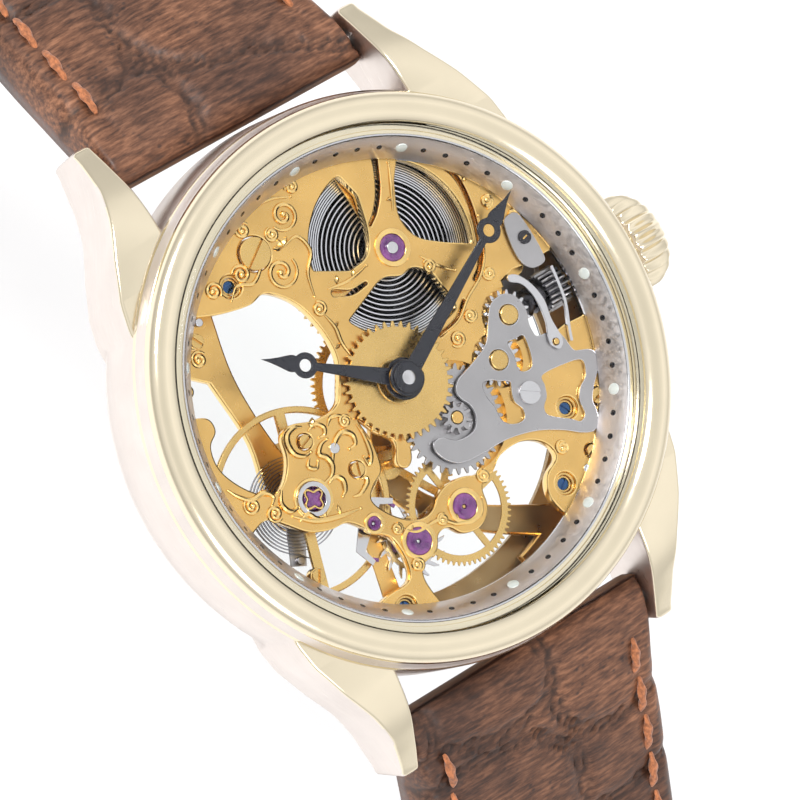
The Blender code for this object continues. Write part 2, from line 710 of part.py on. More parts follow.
def make_bridges(gold, steel, brass):
    low, high = BRIDGE_LOW, BRIDGE_TOP
    barrel_bridge = arc(PLATE_R, 38, 100, 10) + [
        (-2.6, 13.0), (0.0, 9.0), (1.6, 5.9), (4.2, 4.6), (7.6, 5.0), (9.6, 7.2), (12.0, 9.0),
    ]
    put(
        "barrel_bridge",
        slab(
            low, high, barrel_bridge, circle(ARBOR_R + RUNNING, 12, BARREL),
            arc(6.2, 20, 62, 4, BARREL) + arc(3.4, 62, 20, 3, BARREL),
            arc(6.2, 78, 120, 4, BARREL) + arc(3.4, 120, 78, 3, BARREL),
        ),
        gold,
    )
    train_bridge = arc(PLATE_R, -72, -48, 5) + [
        (9.4, -9.6), (6.2, -6.2), (3.2, -2.0), (1.9, 1.7), (-1.4, 1.8), (-2.6, -1.4), (-4.1, -4.6),
        (-3.4, -7.6),
        (-5.6, -9.2), (-6.0, -11.2), (-4.6, -12.3), (-2.0, -11.6), (0.6, -12.2), (3.0, -13.4),
    ]
    put(
        "train_bridge",
        slab(
            low, high, train_bridge, circle(CENTRE_ARBOR_R + RUNNING, 10, CENTRE),
            *[circle(PIVOT_R + RUNNING, 8, at) for at in (THIRD, FOURTH, ESCAPE)],
            [(0.9, -3.2), (3.6, -5.2), (5.6, -7.8), (2.6, -8.4), (0.2, -6.6)],
        ),
        gold,
    )
    cock = arc(PLATE_R, 126, 148, 5) + [
        (-11.5, 6.2), (-11.2, 1.0), (BALANCE[0] - 2.0, BALANCE[1] + 0.9),
        (BALANCE[0] - 1.8, BALANCE[1] - 1.1),
        (BALANCE[0], BALANCE[1] - 2.1), (BALANCE[0] + 1.8, BALANCE[1] - 1.1),
        (BALANCE[0] + 1.9, BALANCE[1] + 1.0),
        (-8.4, 1.4), (-8.9, 6.0), (-8.4, 10.8),
    ]
    put("balance_cock", slab(low, high, cock, circle(STAFF_R + RUNNING, 10, BALANCE)), gold)

    regulator = arc(1.7, 102, 438, 12) + [(0.35, 4.6), (-0.35, 4.6)]
    put(
        "regulator",
        slab(low - SEAT - 0.25, low - SEAT, moved(regulator, (0, 0), -18), circle(REGULATOR_HOLE_R, 14)),
        steel,
        (*BALANCE, 0),
    )
    carrier = union(
        slab(
            high + SEAT, high + SEAT + 0.15, arc(1.2, STUD_BEARING + 40, STUD_BEARING + 320, 10)
            + [polar(HAIRSPRING_R + 0.9, STUD_BEARING - 8), polar(HAIRSPRING_R + 0.9, STUD_BEARING + 8)],
            circle(STAFF_R + 0.2, 10),
        ),
        rod(0.3, high + SEAT + 0.05, HAIRSPRING_LOW + 0.45, polar(HAIRSPRING_R + 0.5, STUD_BEARING), 10),
    )
    put("stud_carrier", carrier, brass, (*BALANCE, 0))

    pallet_bridge = smooth(
        [
            (PALLET[0] - 0.7, PALLET[1] + 0.6), (PALLET[0] + 0.7, PALLET[1] + 0.6), (-6.3, -10.5),
            (PALLET_FOOT[0] + 0.9, PALLET_FOOT[1] - 0.2), (PALLET_FOOT[0] - 0.9, PALLET_FOOT[1] - 0.2),
            (-7.9, -10.5),
        ]
    )
    put(
        "pallet_bridge",
        union(
            slab(PALLET_BRIDGE_LOW, ESCAPE_LOW - AIR, pallet_bridge, circle(PIVOT_R + RUNNING, 8, PALLET)),
            rod(0.6, PALLET_BRIDGE_LOW + 0.05, PLATE_LOW - SEAT, PALLET_FOOT, 12),
        ),
        steel,
    )


def make_jewels(ruby, steel):
    """Bearings in the main plate: each is a disc with a hole for the pivot."""
    for name, radius, hole, at in (
        ("barrel_jewel", BARREL_JEWEL_R, BARREL_PIVOT_R, BARREL),
        ("escape_jewel", ESCAPE_JEWEL_R, PIVOT_R, ESCAPE),
        ("fourth_jewel", FOURTH_JEWEL_R, PIVOT_R, FOURTH),
        ("pallet_jewel", PALLET_JEWEL_R, PIVOT_R, PALLET),
    ):
        put(name, ring(hole + RUNNING, radius, PLATE_LOW + 0.3, PLATE_TOP - 0.05, 12), ruby, (*at, 0))
    profile = [
        (SHOCK_R, PLATE_TOP + 0.1), (SHOCK_R, PLATE_LOW + 0.1), (PIVOT_R + RUNNING, PLATE_LOW + 0.1),
        (PIVOT_R + RUNNING, PLATE_LOW + 0.5), (0.75, PLATE_LOW + 0.55), (0.85, PLATE_TOP + 0.1),
    ]
    put("shock_setting", turned(profile, 16), steel, (*BALANCE, 0))


# ---------------------------------------------------------------- movement: barrel and train
def make_barrel(brass, steel, dark):
    wall = BARREL_WALL_R
    drum = turned(
        [
            (wall, BARREL_HIGH - 0.25), (wall, BARREL_LOW), (ARBOR_R + RUNNING, BARREL_LOW),
            (ARBOR_R + RUNNING, BARREL_LOW + 0.25), (wall - 0.35, BARREL_LOW + 0.25),
            (wall - 0.35, BARREL_HIGH - 0.25),
        ],
        SMALL_ROUND,
    )
    flange = slab(
        5.75, 6.1, gear(BARREL_TEETH, BARREL_MODULE, BARREL_PHASE), circle(wall - 0.2, SMALL_ROUND)
    )
    put("barrel_drum", union(drum, flange), brass, (*BARREL, 0))

    lid_low, lid_high = BARREL_HIGH - 0.25 + SEAT, BARREL_HIGH
    swirl = [polar(6.5, a) for a in (12, 36, 60, 84, 104)]
    swirl += [polar(5.0, 96), polar(3.4, 76), polar(2.4, 58), polar(2.2, 20), polar(2.6, -6), polar(4.0, -2)]
    lid = slab(
        lid_low, lid_high, circle(wall, SMALL_ROUND), circle(BARREL_PIVOT_R + 0.1, 12),
        *[moved(swirl, (0, 0), 90 + 120 * i) for i in range(3)],
    )
    put("barrel_cover", lid, brass, (*BARREL, 0))

    spring_low, spring_high = BARREL_LOW + 0.25 + SEAT, lid_low - SEAT
    put("mainspring", slab(spring_low, spring_high, spiral(1.55, 6.6, 4.5, 0.3, 12)), dark, (*BARREL, 0))

    arbor = union(
        rod(ARBOR_R, BRIDGE_LOW - SEAT, lid_low - SEAT, segments=14),
        rod(1.3, spring_low, spring_high - 0.1, segments=16),
        rod(BARREL_PIVOT_R, lid_low - 0.2, PLATE_TOP, segments=12),
        rod(0.5, 2.2, BRIDGE_LOW, segments=10),
    )
    put("barrel_arbor", arbor, steel, (*BARREL, 0))
    put(
        "ratchet_wheel",
        slab(
            RATCHET_LOW, RATCHET_LOW + 0.25, gear(RATCHET_TEETH, RATCHET_MODULE, RATCHET_PHASE),
            circle(0.5 + SEAT, 10),
        ),
        steel,
        (*BARREL, 0),
    )
    put("ratchet_screw", ring(0.5 + SEAT, 1.4, RATCHET_LOW - 0.4, RATCHET_LOW - SEAT, 16), dark, (*BARREL, 0))

    skirt = CROWN_WHEEL_TEETH * RATCHET_MODULE / 2 - 0.3
    crown_wheel = union(
        slab(
            RATCHET_LOW, RATCHET_LOW + 0.25,
            gear(CROWN_WHEEL_TEETH, RATCHET_MODULE, CROWN_WHEEL_PHASE), circle(CROWN_POST_R + RUNNING, 14),
        ),
        ring(skirt - 0.45, skirt, RATCHET_LOW + 0.1, BARREL_LOW - AIR, 24),
    )
    put("crown_wheel", crown_wheel, steel, (*CROWN_WHEEL, 0))

    tip = RATCHET_TEETH * RATCHET_MODULE / 2 + RATCHET_MODULE
    nose = polar(tip + 0.3, CLICK_BEARING, BARREL)
    away = (nose[0] - CLICK_PIVOT[0], nose[1] - CLICK_PIVOT[1])
    tooth_side = (away[0] + 0.35, away[1] - 0.5)
    click = smooth([(0.9, 0.5), away, tooth_side, (0.9, -0.6), (-0.6, -0.8), (-0.8, 0.5)])
    put(
        "click",
        slab(RATCHET_LOW, RATCHET_LOW + 0.25, click, circle(0.35, 10)),
        steel,
        (*CLICK_PIVOT, 0),
    )


def make_train(brass, steel):
    thick = WHEEL_THICK
    centre = union(
        slab(
            CENTRE_LOW, CENTRE_LOW + thick, gear(CENTRE_TEETH, CENTRE_MODULE, 0.0),
            *windows(1.5, 4.3, 4, 0.7, 20),
        ),
        slab(THIRD_LOW + 0.35, 6.2, gear(CENTRE_PINION_TEETH, BARREL_MODULE, CENTRE_PINION_PHASE)),
        rod(CENTRE_ARBOR_R, BRIDGE_LOW, CANNON_HIGH - 0.1, segments=14),
    )
    put("centre_wheel", centre, brass)
    third = union(
        slab(
            THIRD_LOW, THIRD_LOW + thick, gear(THIRD_TEETH, THIRD_MODULE, 0.0),
            *windows(1.1, 4.3, 4, 0.6, 35),
        ),
        slab(4.0, THIRD_LOW + 0.1, gear(THIRD_PINION_TEETH, CENTRE_MODULE, THIRD_PINION_PHASE)),
        rod(0.35, 4.1, PLATE_LOW - AIR, segments=10),
        rod(PIVOT_R, BRIDGE_LOW, PLATE_LOW + 0.5, segments=8),
    )
    put("third_wheel", third, brass, (*THIRD, 0))
    fourth = union(
        slab(
            FOURTH_LOW, FOURTH_LOW + 0.18, gear(FOURTH_TEETH, FOURTH_MODULE, 0.0),
            *windows(0.95, 3.45, 4, 0.5, 12),
        ),
        slab(THIRD_LOW - 0.15, THIRD_LOW + 0.4, gear(FOURTH_PINION_TEETH, THIRD_MODULE, FOURTH_PINION_PHASE)),
        rod(0.33, THIRD_LOW + 0.03, FOURTH_LOW + 0.07, segments=8),
        rod(PIVOT_R, BRIDGE_LOW, PLATE_TOP - 0.1, segments=8),
    )
    put("fourth_wheel", fourth, brass, (*FOURTH, 0))

    hooked = []
    for i in range(ESCAPE_TEETH):
        angle = 360 * i / ESCAPE_TEETH
        hooked += [polar(1.95, angle - 7), polar(ESCAPE_R, angle + 6)]
        hooked += [polar(ESCAPE_R, angle + 8), polar(1.95, angle + 3)]
    escape = union(
        slab(ESCAPE_LOW, ESCAPE_LOW + 0.16, hooked, *windows(0.8, 1.6, 4, 0.4, 10, 4)),
        slab(
            ESCAPE_LOW + 0.08,
            FOURTH_LOW + 0.2,
            gear(ESCAPE_PINION_TEETH, FOURTH_MODULE, ESCAPE_PINION_PHASE),
        ),
        rod(0.25, BRIDGE_TOP + 0.1, ESCAPE_LOW + 0.1, segments=8),
        rod(PIVOT_R, BRIDGE_LOW, PLATE_TOP - 0.1, segments=8),
    )
    put("escape_wheel", escape, steel, (*ESCAPE, 0))

    # The fork is drawn with the escape wheel at -X and the balance at +X, then turned into line.
    reach = BALANCE_DISTANCE - ROLLER_PIN_R - 0.12
    arm = PALLET_DISTANCE * math.sin(math.acos(ESCAPE_R / PALLET_DISTANCE))
    fork = [
        (reach, 0.38), (reach - 0.45, 0.38), (reach - 0.7, 0.14), (0.6, 0.18), (0.2, arm - 0.4),
        (-1.35, arm + 0.1),
        (-1.45, arm - 0.3), (-0.5, arm - 0.7), (-0.5, -arm + 0.7), (-1.45, -arm + 0.3), (-1.35, -arm - 0.1),
        (0.2, -arm + 0.4), (0.6, -0.18), (reach - 0.7, -0.14), (reach - 0.45, -0.38), (reach, -0.38),
        (reach, -0.16), (reach - 0.35, -0.16), (reach - 0.35, 0.16), (reach, 0.16),
    ]
    pallet_fork = union(
        slab(ESCAPE_LOW, ESCAPE_LOW + 0.16, moved(fork, (0, 0), PALLET_DIRECTION)),
        rod(0.25, ESCAPE_LOW - 0.05, PLATE_LOW - 0.1, segments=8),
        rod(PIVOT_R, PALLET_BRIDGE_LOW, PLATE_TOP - 0.2, segments=8),
    )
    put("pallet_fork", pallet_fork, steel, (*PALLET, 0))

    balance = union(
        slab(
            BALANCE_LOW,
            BALANCE_LOW + 0.4,
            circle(BALANCE_R, 36),
            *windows(0.9, BALANCE_R - 0.65, 2, 0.9, 75, 14),
        ),
        rod(STAFF_R, BRIDGE_LOW, PLATE_LOW + 0.02, segments=10),
        rod(PIVOT_R, PLATE_LOW - 0.1, PLATE_LOW + 0.45, segments=8),
        rod(ROLLER_PIN_R - 0.2, BALANCE_LOW + 0.3, ESCAPE_LOW - 0.1, segments=14),
        rod(0.1, ESCAPE_LOW - 0.15, ESCAPE_LOW + 0.2, polar(ROLLER_PIN_R - 0.32, PALLET_DIRECTION + 180), 8),
    )
    put("balance_wheel", balance, brass, (*BALANCE, 0))
    hairspring = spiral(0.75, HAIRSPRING_R, 4.5, 0.08, 12)
    put(
        "hairspring",
        slab(HAIRSPRING_LOW, HAIRSPRING_LOW + 0.28, moved(hairspring, (0, 0), STUD_BEARING)),
        steel,
        (*BALANCE, 0),
    )


# ---------------------------------------------------------------- movement: hands and setting work
def make_motion_work(brass, steel):
    cannon = union(
        slab(
            MINUTE_LOW,
            HOUR_LOW - AIR,
            gear(CANNON_TEETH, MOTION_MODULE, 0.0),
            circle(CENTRE_ARBOR_R + SEAT, 14),
        ),
        ring(CENTRE_ARBOR_R + SEAT, CANNON_R, MINUTE_LOW, CANNON_HIGH, 20),
    )
    put("cannon_pinion", cannon, steel)
    minute = union(
        slab(
            MINUTE_LOW, MINUTE_LOW + 0.2, gear(MINUTE_TEETH, MOTION_MODULE, MINUTE_PHASE),
            circle(MINUTE_POST_R + RUNNING, 12),
        ),
        slab(
            MINUTE_LOW + 0.1, HOUR_LOW + 0.3, gear(MINUTE_PINION_TEETH, HOUR_MODULE, 0.0),
            circle(MINUTE_POST_R + RUNNING, 12),
        ),
    )
    put("minute_wheel", minute, steel, (*MINUTE, 0))
    hour = union(
        slab(
            HOUR_LOW,
            HOUR_LOW + 0.25,
            gear(HOUR_TEETH, HOUR_MODULE, HOUR_PHASE),
            circle(CANNON_R + RUNNING, 20),
        ),
        ring(CANNON_R + RUNNING, HOUR_PIPE_R, HOUR_LOW, HOUR_HAND_LOW + 0.2, 20),
    )
    put("hour_wheel", hour, brass)
    for name, at, phase in (
        ("setting_wheel_1", SETTING_1, SETTING_1_PHASE),
        ("setting_wheel_2", SETTING_2, SETTING_2_PHASE),
    ):
        outline = gear(SETTING_TEETH, MOTION_MODULE, phase)
        put(
            name,
            slab(MINUTE_LOW, COVER_LOW - SEAT, outline, circle(SETTING_POST_R + RUNNING, 14)),
            steel,
            (*at, 0),
        )


def hand(length, ring_at, hub, hole):
    """A hand along +Y: a tapered blade, a ring, and a leaf-shaped tip."""
    around = [polar(1.0, a, (0, ring_at)) for a in (-60, -30, 0, 30)]
    blade = [(0.46, hub * 0.88), (0.24, ring_at - 0.95)] + around + [(0.42, ring_at + 1.15), (0.0, length)]
    other = [(-x, y) for x, y in reversed(blade[:-1])]
    tail = [polar(hub, a) for a in range(120, 421, 30)]
    return slab(0, 0.2, blade + other + tail, circle(hole, 18), circle(0.5, 12, (0, ring_at)))


def make_hands(black, steel):
    hour = hand(HOUR_HAND, 7.75, 1.7, HOUR_PIPE_R + SEAT)
    shown = Matrix.Rotation(math.radians(-HOUR_ANGLE), 4, "Z")
    put("hour_hand", turn(hour, shown), black, (0, 0, HOUR_HAND_LOW))
    minute = hand(MINUTE_HAND, 12.9, 1.35, CANNON_R + SEAT)
    put(
        "minute_hand",
        turn(minute, Matrix.Rotation(math.radians(-MINUTE_ANGLE), 4, "Z")),
        black,
        (0, 0, MINUTE_HAND_LOW),
    )


def make_keyless_work(steel, dark, gold):
    """The stem, its pinions and the levers that shift them, with the plate that covers them."""
    cover = [
        (0.15, -5.4), (0.5, -6.8), (1.5, -7.5), (3.5, -7.7), (5.3, -7.7), (7.0, -8.0), (8.5, -8.5),
        (10.0, -9.3),
        (11.8, -10.4), (12.4, -10.0), (13.1, -9.0), (14.2, -7.2), (14.9, -5.4), (14.5, -4.9), (13.7, -4.6),
        (13.5, -3.0),
        (12.9, -2.5), (11.3, -2.3), (11.4, -1.3), (11.7, -0.2), (11.3, 1.1), (10.4, 1.6), (9.3, 1.3),
        (8.6, 0.4),
        (7.2, -1.0), (5.0, -1.9), (4.4, -2.2), (4.0, -2.9), (4.2, -4.0), (4.25, -5.0), (3.6, -5.9),
        (2.4, -6.1),
        (1.3, -5.5),
    ]
    window_a = [(6.0, -3.6), (7.9, -4.3), (7.5, -5.7), (7.7, -7.0), (6.4, -6.9), (5.8, -5.9)]
    window_b = [(9.3, -1.6), (10.5, -1.8), (10.4, -3.6), (9.3, -4.0)]
    window_c = [
        (10.4, -5.0), (13.8, -5.4), (13.4, -6.8), (12.4, -7.6), (12.2, -9.1), (11.4, -9.2), (9.4, -7.6),
        (10.2, -6.2),
    ]
    put(
        "cover_plate",
        slab(
            COVER_LOW, COVER_TOP, cover, window_a, window_b, window_c,
            *[circle(SETTING_POST_R + SEAT, 14, at) for at in (SETTING_1, SETTING_2)],
            circle(COVER_SCREW_R + SEAT, 14, COVER_SCREW),
            circle(LEVER_POST_R + SEAT, 10, YOKE_PIVOT),
        ),
        steel,
    )
    screw = union(
        rod(COVER_SCREW_R + 0.35, COVER_TOP + SEAT, COVER_TOP + 0.25, segments=14),
        rod(COVER_SCREW_R, COVER_LOW, COVER_TOP + 0.1, segments=12),
    )
    driver_slot = block((-1, -0.12, COVER_TOP + 0.15), (1, 0.12, 9))
    put("cover_screw", cut(screw, driver_slot), steel, (*COVER_SCREW, 0))

    lever = [
        (-0.7, 1.9), (0.4, 1.8), (0.8, -0.2), (0.8, -1.9), (0.4, -2.4), (-0.6, -2.3), (-1.2, -1.5),
        (-1.3, -0.3),
        (-1.1, 1.2),
    ]
    put(
        "setting_lever",
        slab(LEVER_LOW, LEVER_LOW + 0.22, smooth(lever, 1), circle(LEVER_POST_R + RUNNING, 10)),
        steel,
        (*LEVER_PIVOT, 0),
    )
    yoke = [
        (0.0, -0.6), (0.6, -0.1), (0.55, 1.6), (0.75, 3.1), (0.45, 4.5), (-0.2, 5.6), (-0.95, 5.95),
        (-1.1, 5.5),
        (-0.4, 5.0), (0.0, 4.2), (0.15, 3.0), (0.0, 1.6), (-0.5, 0.2),
    ]
    bore = circle(LEVER_POST_R + RUNNING, 10)
    put("yoke", slab(YOKE_LOW, YOKE_LOW + 0.2, smooth(yoke, 1), bore), steel, (*YOKE_PIVOT, 0))

    along_x = Matrix.Rotation(math.radians(90), 4, "Y")
    level = (0, 0, STEM_Z)
    teeth = gear(WINDING_TEETH, WINDING_MODULE)
    winding = slab(WINDING_LOW, WINDING_HIGH, teeth, circle(STEM_R + RUNNING, 12))
    put("winding_pinion", turn(winding, along_x), dark, level)
    groove = STEM_R + 0.25
    clutch = turned(
        [
            (STEM_R + RUNNING, CLUTCH_LOW), (CLUTCH_R, CLUTCH_LOW), (CLUTCH_R, CLUTCH_LOW + 0.4),
            (groove, CLUTCH_LOW + 0.5), (groove, CLUTCH_LOW + 0.8), (CLUTCH_R, CLUTCH_LOW + 0.9),
            (CLUTCH_R, CLUTCH_HIGH), (STEM_R + RUNNING, CLUTCH_HIGH),
        ],
        14,
    )
    put("clutch", turn(clutch, along_x), dark, level)
    shaft = [
        (0, STEM_OUTER_END), (STEM_R, STEM_OUTER_END), (STEM_R, STEM_INNER_END + 0.55),
        (0.3, STEM_INNER_END + 0.5),
        (0.3, STEM_INNER_END), (0, STEM_INNER_END),
    ]
    stem = turned(shaft, 12, closed=False)
    put("stem", turn(stem, along_x), steel, level)
    tube = ring(STEM_R + 0.15, CROWN_TUBE_R, CAVITY_R - 0.4, CASE_R + 0.5, 16)
    put("crown_tube", turn(tube, along_x), steel, level)

    # Flutes are a wave on the crown's radius, strongest at its widest section.
    shape = [(0.72, 0.0), (0.93, 0.35), (1.0, 1.2), (0.97, 2.1), (0.8, 2.9), (0.55, 3.4)]
    points = 2 * CROWN_FLUTES
    sections = []
    for share, along in shape:
        depth = 0.3 * share if 0.2 < along < 3.2 else 0.0
        radii = [CROWN_R * share - depth * (i % 2) for i in range(points)]
        sections.append([(*polar(r, 360 * i / points), along) for i, r in enumerate(radii)])
    crown = cut(
        loft(sections),
        rod(CROWN_TUBE_R + 0.1, -1, 1.6, segments=16),
        rod(STEM_R + SEAT, 1.4, STEM_OUTER_END - CROWN_X + SEAT, segments=12),
    )
    put("crown", turn(crown, along_x), gold, (CROWN_X, 0, STEM_Z))


def make_spacer(brass):
    along_x = Matrix.Rotation(math.radians(90), 4, "Y")
    way = turn(rod(CROWN_TUBE_R + 0.3, 14, CASE_R + 1), Matrix.Translation((0, 0, STEM_Z)) @ along_x)
    put(
        "movement_ring",
        cut(ring(PLATE_R + SEAT, CAVITY_R - SEAT, 4.4, PLATE_TOP - SEAT, ROUND), way),
        brass,
    )


# ---------------------------------------------------------------- strap and buckle
def strap_place(along):
    """(y, z, degrees below level) of the strap's middle line, this far from its spring bar."""
    y, z, angle = STRAP_BAR_Y, STRAP_BAR_Z, STRAP_DROP
    straight = min(along, STRAP_STRAIGHT)
    y += straight * math.cos(math.radians(angle))
    z -= straight * math.sin(math.radians(angle))
    bend_length = STRAP_BEND_R * math.radians(STRAP_BEND)
    bent = min(max(along - STRAP_STRAIGHT, 0.0), bend_length)
    end = angle + math.degrees(bent / STRAP_BEND_R)
    y += STRAP_BEND_R * (math.sin(math.radians(end)) - math.sin(math.radians(angle)))
    z -= STRAP_BEND_R * (math.cos(math.radians(angle)) - math.cos(math.radians(end)))
    rest = max(along - STRAP_STRAIGHT - bend_length, 0.0)
    y += rest * math.cos(math.radians(end))
    z -= rest * math.sin(math.radians(end))
    return y, z, end


def strap_frame(along, side):
    """A matrix whose X runs across the strap, Y along it and Z out of its face."""
    y, z, angle = strap_place(along)
    turn_down = Matrix.Rotation(math.radians(-angle), 4, "X")
    flip = Matrix.Identity(4) if side > 0 else Matrix.Rotation(math.pi, 4, "Z")
    return flip @ Matrix.Translation((0, y, z)) @ turn_down


def strap_section(width, thick):
    """A flat oblong with its upper edges eased."""
    w, t = width / 2, thick / 2
    return [(-w, -t), (w, -t), (w, t * 0.2), (w - 1.6, t), (-w + 1.6, t), (-w, t * 0.2)]


def strap_half(side, length, end_width, tip):
    """A strap half as a loft along its middle line, with a passage for the spring bar."""
    nose = [STRAP_NOSE_R * math.cos(math.radians(a)) for a in (8, 30, 55, 90)]
    stations = [-along for along in nose] + [3.0, 9.0, STRAP_STRAIGHT]
    stations += [STRAP_STRAIGHT + STRAP_BEND_R * math.radians(STRAP_BEND) * k / 5 for k in range(1, 6)]
    stations += [length - tip, length - tip / 2, length - tip / 6, length] if tip else [length - 4.0, length]
    sections = []
    for along in stations:
        share = min(max((along - 4.0) / (length - 12.0), 0.0), 1.0)
        width = LUG_WIDTH - 0.5 + (end_width - LUG_WIDTH + 0.5) * share
        thick = STRAP_THICK + (STRAP_END_THICK - STRAP_THICK) * share
        if along < 1e-6:
            thick = 2 * math.sqrt(STRAP_NOSE_R**2 - along**2)
        if tip and along > length - tip:
            width *= math.sqrt(max(1 - ((along - length + tip) / tip) ** 2, 0.06))
        frame = strap_frame(max(along, 0.0), side) @ Matrix.Translation((0, min(along, 0.0), 0))
        sections.append([frame @ Vector((x, 0, z)) for x, z in strap_section(width, thick)])
    solid = loft(sections)
    along_x = Matrix.Rotation(math.radians(90), 4, "Y")
    reach = LUG_WIDTH / 2 + 3
    passage = turn(rod(BAR_R + RUNNING, -reach, reach, segments=12), strap_frame(0, side) @ along_x)
    return solid, passage, along_x


def make_strap(leather, steel, gold):
    solid, passage, along_x = strap_half(1, STRAP_12_LENGTH, STRAP_BUCKLE_WIDTH, 0.0)
    end = strap_frame(STRAP_12_LENGTH, 1)
    buckle_frame = end @ Matrix.Translation((0, -BUCKLE_BAR_BACK, 0))
    buckle_way = turn(rod(BUCKLE_BAR_R + RUNNING, -14, 14, segments=12), buckle_frame @ along_x)
    slot = turn(block((-1.6, -4.2, -4), (1.6, 6.0, 4)), buckle_frame)
    put_turning("strap_12", cut(solid, passage, buckle_way, slot), leather, strap_frame(0, 1))

    solid, passage, along_x = strap_half(-1, STRAP_6_LENGTH, STRAP_TIP_WIDTH, STRAP_TIP)
    holes = [
        turn(rod(HOLE_R, -5, 5, segments=8), strap_frame(STRAP_6_LENGTH - FIRST_HOLE - HOLE_PITCH * i, -1))
        for i in range(HOLE_COUNT)
    ]
    put_turning("strap_6", cut(solid, passage, *holes), leather, strap_frame(0, -1))

    for name, side in (("spring_bar_12", 1), ("spring_bar_6", -1)):
        half = LUG_GAP / 2
        bar = turned(
            [
                (0, half + 0.9), (BAR_PIN_R, half + 0.9), (BAR_PIN_R, half - 0.1), (BAR_R, half - 0.1),
                (BAR_R, 0.1 - half), (BAR_PIN_R, 0.1 - half), (BAR_PIN_R, -half - 0.9), (0, -half - 0.9),
            ],
            10,
            closed=False,
        )
        put(name, turn(bar, along_x), steel, (0, side * STRAP_BAR_Y, STRAP_BAR_Z))

    half = STRAP_BUCKLE_WIDTH / 2 + 0.4
    wire = BUCKLE_WIRE
    outer = [
        (-half - wire, -1.2), (half + wire, -1.2), (half + wire, BUCKLE_REACH - 1.5),
        (half, BUCKLE_REACH + 0.9),
        (-half, BUCKLE_REACH + 0.9), (-half - wire, BUCKLE_REACH - 1.5),
    ]
    inner = [(-half, -2.4), (half, -2.4), (half, BUCKLE_REACH - 1.6), (-half, BUCKLE_REACH - 1.6)]
    frame_solid = slab(-1.1, 1.1, outer)
    opening = slab(-3, 3, inner)
    rest_way = block((-1.3, BUCKLE_REACH - 3, 0.35), (1.3, BUCKLE_REACH + 3, 4))
    bar_holes = turn(rod(BUCKLE_BAR_R - 0.25 + SEAT, -half - 1.2, half + 1.2, segments=10), along_x)
    frame_solid = turn(cut(frame_solid, opening, rest_way, bar_holes), buckle_frame)
    put_turning("buckle_frame", frame_solid, gold, buckle_frame)
    bar = turned(
        [
            (0, half + 0.9), (BUCKLE_BAR_R - 0.25, half + 0.9), (BUCKLE_BAR_R - 0.25, half - 0.15),
            (BUCKLE_BAR_R, half - 0.15), (BUCKLE_BAR_R, 0.15 - half), (BUCKLE_BAR_R - 0.25, 0.15 - half),
            (BUCKLE_BAR_R - 0.25, -half - 0.9), (0, -half - 0.9),
        ],
        10,
        closed=False,
    )
    put_turning("buckle_bar", turn(turn(bar, along_x), buckle_frame), steel, buckle_frame)
    eye = turn(ring(BUCKLE_BAR_R + RUNNING, 1.35, -1.0, 1.0, 14), along_x)
    tongue = loft(
        [
            [(-0.8, y, z - t), (0.8, y, z - t), (0.8, y, z + t), (-0.8, y, z + t)]
            for y, z, t in (
                (1.1, 0.35, 0.4),
                (5.0, 0.75, 0.4),
                (9.0, 0.85, 0.35),
                (BUCKLE_REACH + 0.6, 0.75, 0.3),
            )
        ]
    )
    tang = union(eye, tongue)
    put_turning("buckle_tang", turn(tang, buckle_frame), gold, buckle_frame)

    for name, along, gap, wide in (
        ("fixed_keeper", STRAP_12_LENGTH - 9.0, SEAT, 4.0),
        ("sliding_keeper", STRAP_12_LENGTH - 17.0, 0.25, 5.0),
    ):
        frame = strap_frame(along, 1)
        half = STRAP_BUCKLE_WIDTH / 2 + 0.4 + gap
        low, high = -STRAP_END_THICK / 2 - 0.35 - gap, STRAP_END_THICK / 2 + KEEPER_ROOM
        wall = KEEPER_WALL
        outer = [(-half - wall, low - wall), (half + wall, low - wall), (half + wall, high + wall)]
        outer.append((-half - wall, high + wall))
        hollow = [(-half, low), (half, low), (half, high), (-half, high)]
        stand = Matrix(((1, 0, 0, 0), (0, 0, -1, 0), (0, 1, 0, 0), (0, 0, 0, 1)))
        put_turning(name, turn(slab(-wide / 2, wide / 2, outer, hollow), frame @ stand), leather, frame)


def main():
    for thing in list(bpy.data.objects):
        bpy.data.objects.remove(thing)
    bpy.context.scene.collection.children.link(PARTS)
    gold = material("case_gold", (0.80, 0.68, 0.44), 0.12, 1.0)
    brass = material("movement_gold", (0.83, 0.58, 0.22), 0.25, 1.0)
    steel = material("steel", (0.60, 0.58, 0.57), 0.30, 1.0)
    silver = material("chapter_silver", (0.72, 0.68, 0.64), 0.35, 0.8)
    dark = material("dark_steel", (0.08, 0.08, 0.09), 0.35, 0.9)
    ink = material("hand_blue_black", (0.02, 0.02, 0.04), 0.3, 0.3)
    rubber = material("rubber", (0.03, 0.03, 0.03), 0.7, 0.0)
    ruby = material("ruby", (0.45, 0.05, 0.35), 0.1, 0.0)
    glass = material("crystal", (0.95, 0.97, 0.98), 0.02, 0.0)
    leather = material("brown_leather", (0.17, 0.07, 0.035), 0.5, 0.0)

    make_case(gold)
    make_glazing(glass, silver, rubber, gold)
    make_main_plate(brass)
    make_spacer(brass)
    make_bridges(brass, steel, brass)
    make_jewels(ruby, steel)
    make_barrel(brass, steel, dark)
    make_train(brass, steel)
    make_motion_work(brass, steel)
    make_hands(ink, steel)
    make_keyless_work(steel, dark, gold)
    make_strap(leather, steel, gold)


main()
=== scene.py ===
"""The looks of the skeleton wristwatch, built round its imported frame.

Shapes are made in millimetres in the watch's own frame by the mesh helpers, and show() scales
them to metres and hangs them on a body. Arbors, levels and bars are read from the frame.
"""

import json
import math
import random

import bmesh
import bpy
import numpy as np
from mathutils import Matrix, Vector, noise


